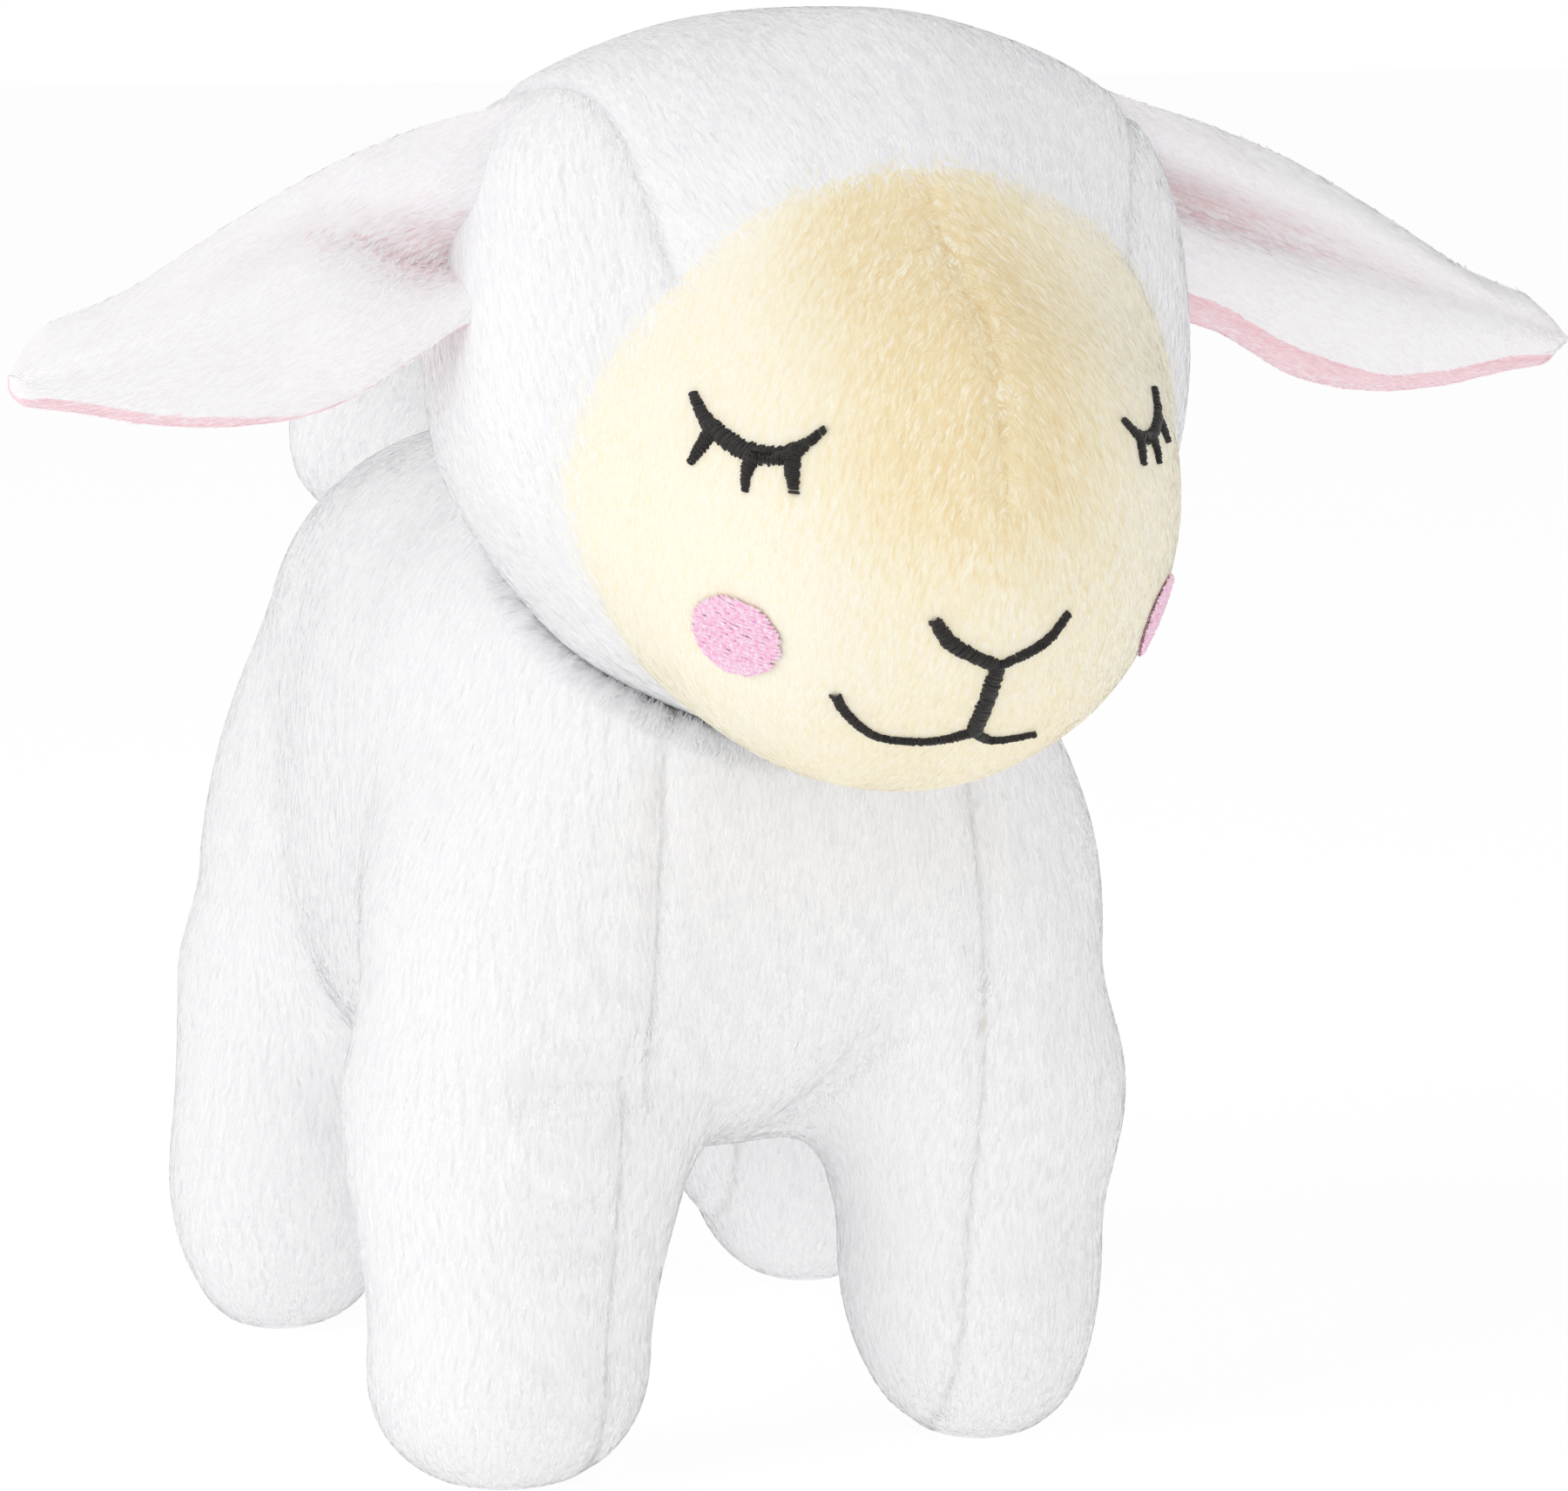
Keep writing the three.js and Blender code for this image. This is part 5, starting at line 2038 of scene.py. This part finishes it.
    def ride_of(self, number: int) -> Ride:
        """What a panel moves with: the body and the neck, or the body and a leg.

        Args:
            number: the panel's number.

        Returns:
            The ride.
        """
        if number < 3:
            return self.neck_ride()
        if number == 3:
            return Ride("body")
        leg = self.legs[(number - 4) // 2]
        start, end = (*leg.hip[:2], self.leg_bend_from), (*leg.hip[:2], self.leg_bend_to)
        return Ride("body", f"{leg.name}_leg", start, end)

    def neck_ride(self) -> Ride:
        """The span between the body and the neck, over the cloth that the head is sewn to.

        Returns:
            The ride.
        """
        middle = np.array(self.middle)
        way = unit(self.head.centre - middle)
        start, end = middle + self.neck_from * way, middle + self.neck_to * way
        return Ride("body", "neck", tuple(start), tuple(end))

    def build(self) -> None:
        """Makes the panels, their pile and the stuffing."""
        low, high = np.array(self.room_low), np.array(self.room_high)
        whole = surface_net(self.skin, low, high, self.cell, self.form)
        labels = cut_panels(whole, self.label, self.skin)
        draw = np.random.default_rng(51)
        pile = Pile()
        places, normals = whole.scatter(pile.density, draw)
        panels = self.label(places)
        # Painted shade: the pile leans to its deep tones along the seams
        shade = self.seam_shade * self.seams(places, self.seam_shade_width)
        gap = self.head.form(places)
        clear = (gap > self.pile_gap) & (places[:, 2] > self.pile_floor)
        near = ease(1 - gap / self.closing)[:, None]
        away = unit(gradient(self.head.form, places))
        combs = unit((1 - near) * self.pile_comb - self.closing_pull * near * away)
        combs = combs * (1 + self.closing_length * near)
        for number, node in enumerate(self.panel_names()):
            rides = self.ride_of(number)
            self.dresser.panel(node, whole.part(labels == number), WHITE_BACKING, "white_plush", rides)
            mine = clear & (panels == number)
            roots = places[mine], normals[mine]
            self.dresser.plush(
                node, roots, combs[mine], pile, shade[mine], WHITE_PILE, "white_plush", rides, draw
            )
        self.stuff(low, high)

    def stuff(self, low: Array, high: Array) -> None:
        """Makes the stuffing of the body and of each leg.

        Args:
            low: lowest corner of the room that holds the body.
            high: highest corner.
        """

        def inside(points: Array) -> Array:
            """Below zero in the stuffing."""
            lumps = FILLING_LUMP * ripple(points, FILLING_PITCH, seed=8)
            trunk = self.barrel(points) + self.filling_inset + lumps
            trunk = np.maximum(trunk, self.filling_neck - self.head_room(points))
            return np.maximum(trunk, self.filling_hip - self.nearest_limb(points))

        filling = surface_net(inside, low, high, self.filling_cell)
        self.dresser.stuff("body_filling", filling, self.neck_ride(), "body_stuffing")
        for leg in self.legs:
            near, far = leg.hip - self.leg_room_low, leg.hip + self.leg_room_high
            core = surface_net(
                lambda points: self.leg_filling(points, leg), near, far, self.leg_filling_cell
            )
            limb = f"{leg.name}_leg"
            self.dresser.stuff(f"{limb}_filling", core, Ride(limb), f"{limb}_stuffing")

    def leg_filling(self, points: Array, leg: Leg) -> Array:
        """Below zero in the stuffing of a leg."""
        lumps = self.leg_filling_lump * ripple(points, self.leg_filling_pitch, seed=9)
        return self.limb(points, leg) + self.leg_filling_inset + lumps


def spin(points: Array, way: Array, angle: float) -> Array:
    """Points turned about an axis through the origin.

    Args:
        points: places, one a row.
        way: the axis.
        angle: radians, by the right-hand rule.

    Returns:
        The turned places.
    """
    way = unit(way)
    level = np.outer(points @ way, way)
    return level + (points - level) * math.cos(angle) + np.cross(way, points) * math.sin(angle)


# The tail and the neck


@dataclass
class Tail:
    """A stuffed ball, gathered where it is sewn on at the top of the rump."""

    dresser: Dresser
    middle: Triple = (-3.5, 96.6, 128.6)
    half: Triple = (19.0, 16.0, 16.0)
    root_radius: float = 10.0
    blend: float = 8.0
    seam: Pair = (1.4, 0.8)
    slack: float = 0.3
    slack_length: float = 20.0
    room_low: Triple = (24.0, 32.0, 24.0)
    room_high: Triple = (24.0, 20.0, 20.0)
    cell: float = 1.3
    bend: Triple = (0.0, 12.0, 4.0)
    pile_comb: Triple = (0.0, 0.6, -1.0)
    filling_inset: float = 3.2
    filling_cell: float = 2.5

    def skin(self, points: Array) -> Array:
        """The tail's cloth with its middle seam.

        Args:
            points: places, one a row.

        Returns:
            Distances, below zero inside.
        """
        root = np.linalg.norm(points - pivot("tail_wag"), axis=1) - self.root_radius
        ball = melt(lump(points, np.array(self.middle), np.array(self.half), 2), root, self.blend)
        seam = groove(points[:, 0] - self.middle[0], *self.seam)
        return ball + seam - self.slack * ripple(points, self.slack_length, seed=13)

    def label(self, points: Array) -> Array:
        """0 for the left half, 1 for the right."""
        return np.where(points[:, 0] > self.middle[0], 0, 1)

    def build(self) -> None:
        """Makes both halves, their pile and the stuffing."""
        centre = np.array(self.middle)
        low, high = centre - self.room_low, centre + self.room_high
        whole = surface_net(self.skin, low, high, self.cell)
        labels = cut_panels(whole, self.label, self.skin)
        root = pivot("tail_wag")
        rides = Ride("body", "tail", tuple(root), tuple(root + self.bend))
        draw = np.random.default_rng(61)
        pile = Pile()
        places, normals = whole.scatter(pile.density, draw)
        for number, node in enumerate(("tail_cover_left", "tail_cover_right")):
            self.dresser.panel(node, whole.part(labels == number), WHITE_BACKING, "white_plush", rides)
            mine = self.label(places) == number
            comb = np.tile(self.pile_comb, (mine.sum(), 1))
            roots = places[mine], normals[mine]
            self.dresser.plush(node, roots, comb, pile, 0.0, WHITE_PILE, "white_plush", rides, draw)
        core = surface_net(
            lambda points: self.skin(points) + self.filling_inset, low, high, self.filling_cell
        )
        self.dresser.stuff("tail_filling", core, Ride("tail"), "tail_stuffing", fill=0.8)


@dataclass
class NeckThread:
    """The strong two-ply thread that sews the head on, in a ring inside the neck."""

    dresser: Dresser
    head: Head
    ring: float = 25.0
    thread: float = 0.6
    gap: float = 0.4
    steps: int = 180
    twists: int = 30

    def build(self) -> None:
        """Makes the ring from two strands twisted round each other."""
        way = axis("head_turn")
        across = np.array([1.0, 0.0, 0.0])
        third = np.cross(way, across)
        reach = math.sqrt((self.head.skull + self.gap + self.thread) ** 2 - self.ring**2)
        turns = np.arange(self.steps) * 2 * math.pi / self.steps
        strands = []
        for phase in (0.0, math.pi):
            twist = self.twists * turns + phase
            radius = self.ring + self.thread / 2 * np.cos(twist)
            height = reach + self.thread / 2 * np.sin(twist)
            route = np.outer(radius * np.cos(turns), across) + np.outer(radius * np.sin(turns), third)
            route = self.head.centre + route + np.outer(height, way)
            strands.append(tube(route, np.full(self.steps, self.thread / 2), closed=True))
        piece = link_mesh("neck_thread", join(strands), self.dresser.wardrobe.get(WHITE_THREAD))
        self.dresser.settle_piece(piece, Ride("neck"), "white_thread", ("neck_seam_thread",))


# The studio


@dataclass(frozen=True)
class Lamp:
    """A soft square lamp that faces the toy."""

    name: str
    azimuth: float
    elevation: float
    distance: float
    size: float
    watts: float
    colour: str


@dataclass
class Studio:
    """Camera, lamps, pale floor and world."""

    target: Triple = (0.0, -59.4, 99.6)
    azimuth: float = -22.75
    elevation: float = 7.7
    distance: float = 800.0
    focal_px: float = 7190.0
    image_px: float = 1800.0
    middle_px: float = 961.0
    sensor: float = 36.0
    ambient: float = 0.735
    floor_glow: float = 0.66
    floor_bounce: float = 0.62
    floor_reach: float = 6000.0
    paper: str = "#B0B0B0"
    clip_m: Pair = (0.01, 50.0)
    lamp_aim: Triple = (0.0, 0.0, 95.0)
    lamps: tuple[Lamp, ...] = (
        Lamp("key_lamp", -78, 24, 1200, 0.9, 3.2, "#FFFFFF"),
        Lamp("fill_lamp", 5, 7, 1400, 1.0, 1.3, "#FFFFFF"),
    )

    def back(self, azimuth: float, elevation: float) -> Vector:
        """The direction from the toy towards a place round it."""
        a, e = math.radians(azimuth), math.radians(elevation)
        return Vector((math.sin(a) * math.cos(e), -math.cos(a) * math.cos(e), math.sin(e)))

    def camera(self) -> None:
        """Places the camera at the photograph's angle."""
        data = bpy.data.cameras.new("camera")
        data.sensor_width = self.sensor
        data.lens = self.focal_px * self.sensor / self.image_px
        data.shift_x = (self.image_px / 2 - self.middle_px) / self.image_px
        data.clip_start, data.clip_end = self.clip_m
        eye = bpy.data.objects.new("camera", data)
        back = self.back(self.azimuth, self.elevation)
        eye.location = (Vector(self.target) + back * self.distance) * MM
        eye.rotation_mode = "QUATERNION"
        eye.rotation_quaternion = (-back).to_track_quat("-Z", "Y")
        bpy.context.scene.collection.objects.link(eye)
        bpy.context.scene.camera = eye

    def light(self) -> None:
        """Hangs the lamps and sets the world."""
        middle = Vector(self.lamp_aim)
        for lamp in self.lamps:
            data = bpy.data.lights.new(lamp.name, "AREA")
            data.energy, data.size, data.color = lamp.watts, lamp.size, linear(lamp.colour)[:3]
            hung = bpy.data.objects.new(lamp.name, data)
            back = self.back(lamp.azimuth, lamp.elevation)
            hung.location = (middle + back * lamp.distance) * MM
            hung.rotation_mode = "QUATERNION"
            hung.rotation_quaternion = back.to_track_quat("Z", "Y")
            bpy.context.scene.collection.objects.link(hung)
        world = bpy.data.worlds.new("studio")
        bpy.context.scene.world = world
        world.use_nodes = True
        tree = world.node_tree
        tree.nodes.clear()
        plain = add_node(
            tree, "ShaderNodeBackground", {"Color": (1, 1, 1, 1), "Strength": self.ambient}, {}
        )
        white = add_node(tree, "ShaderNodeBackground", {"Color": (1, 1, 1, 1), "Strength": 1.0}, {})
        mixed = add_node(tree, "ShaderNodeMixShader", {}, {"Fac": self.seen(tree)})
        tree.links.new(plain.outputs["Background"], mixed.inputs[1])
        tree.links.new(white.outputs["Background"], mixed.inputs[2])
        add_node(tree, "ShaderNodeOutputWorld", {}, {"Surface": mixed.outputs["Shader"]})

    def seen(self, tree: bpy.types.NodeTree) -> bpy.types.NodeSocket:
        """1 for rays that the eye, a mirror or a glass sends, and 0 for light that bounces.

        Args:
            tree: the material's or world's nodes.

        Returns:
            The socket that gives it.
        """
        path = add_node(tree, "ShaderNodeLightPath", {}, {})
        total = path.outputs["Is Camera Ray"]
        for ray in ("Is Glossy Ray", "Is Transmission Ray"):
            sum_node = add_node(tree, "ShaderNodeMath", {"operation": "MAXIMUM"}, {})
            tree.links.new(total, sum_node.inputs[0])
            tree.links.new(path.outputs[ray], sum_node.inputs[1])
            total = sum_node.outputs[0]
        return total

    def floor(self) -> None:
        """Lays a light table: paper lit from below, a little brighter to the eye than to other light."""
        corners = np.array([[-1, -1, 0], [1, -1, 0], [1, 1, 0], [-1, 1, 0]]) * self.floor_reach
        material, tree = blank_material("white_table")
        paper = add_node(tree, "ShaderNodeBsdfDiffuse", {"Color": linear(self.paper)}, {})
        strength = add_node(
            tree, "ShaderNodeMapRange", {"To Min": self.floor_bounce, "To Max": self.floor_glow},
            {"Value": self.seen(tree)},
        )
        glow = add_node(
            tree, "ShaderNodeEmission", {"Color": (1, 1, 1, 1)}, {"Strength": strength.outputs["Result"]}
        )
        both = add_node(tree, "ShaderNodeAddShader", {}, {})
        tree.links.new(paper.outputs["BSDF"], both.inputs[0])
        tree.links.new(glow.outputs["Emission"], both.inputs[1])
        add_node(tree, "ShaderNodeOutputMaterial", {}, {"Surface": both.outputs["Shader"]})
        link_mesh("floor", Skin(corners, np.array([[0, 1, 2, 3]])), [material])

    def build(self) -> None:
        """Sets up everything round the toy."""
        self.camera()
        self.light()
        self.floor()
        bpy.context.scene.view_settings.view_transform = "Standard"


def main() -> None:
    """Builds the lamb and its studio, and notes the sizes."""
    logging.basicConfig(level=logging.INFO, format="%(message)s")
    Studio().build()
    dresser = Dresser(Wardrobe())
    head = Head(dresser)
    embroidery = Embroidery(dresser, head)
    head.build(embroidery.stitched)
    embroidery.build()
    Ear(dresser, Side.LEFT, Drape(64.0, 0.93, 19.0, -0.05, 0.0, 0.6, 4.2, 2.4)).build()
    Ear(dresser, Side.RIGHT, Drape(61.5, 1.05, 15.5, -0.45, 0.35, 0.4, 0.3, 1.4)).build()
    Trunk(dresser, head).build()
    Tail(dresser).build()
    NeckThread(dresser, head).build()


if __name__ == "__main__":
    main()
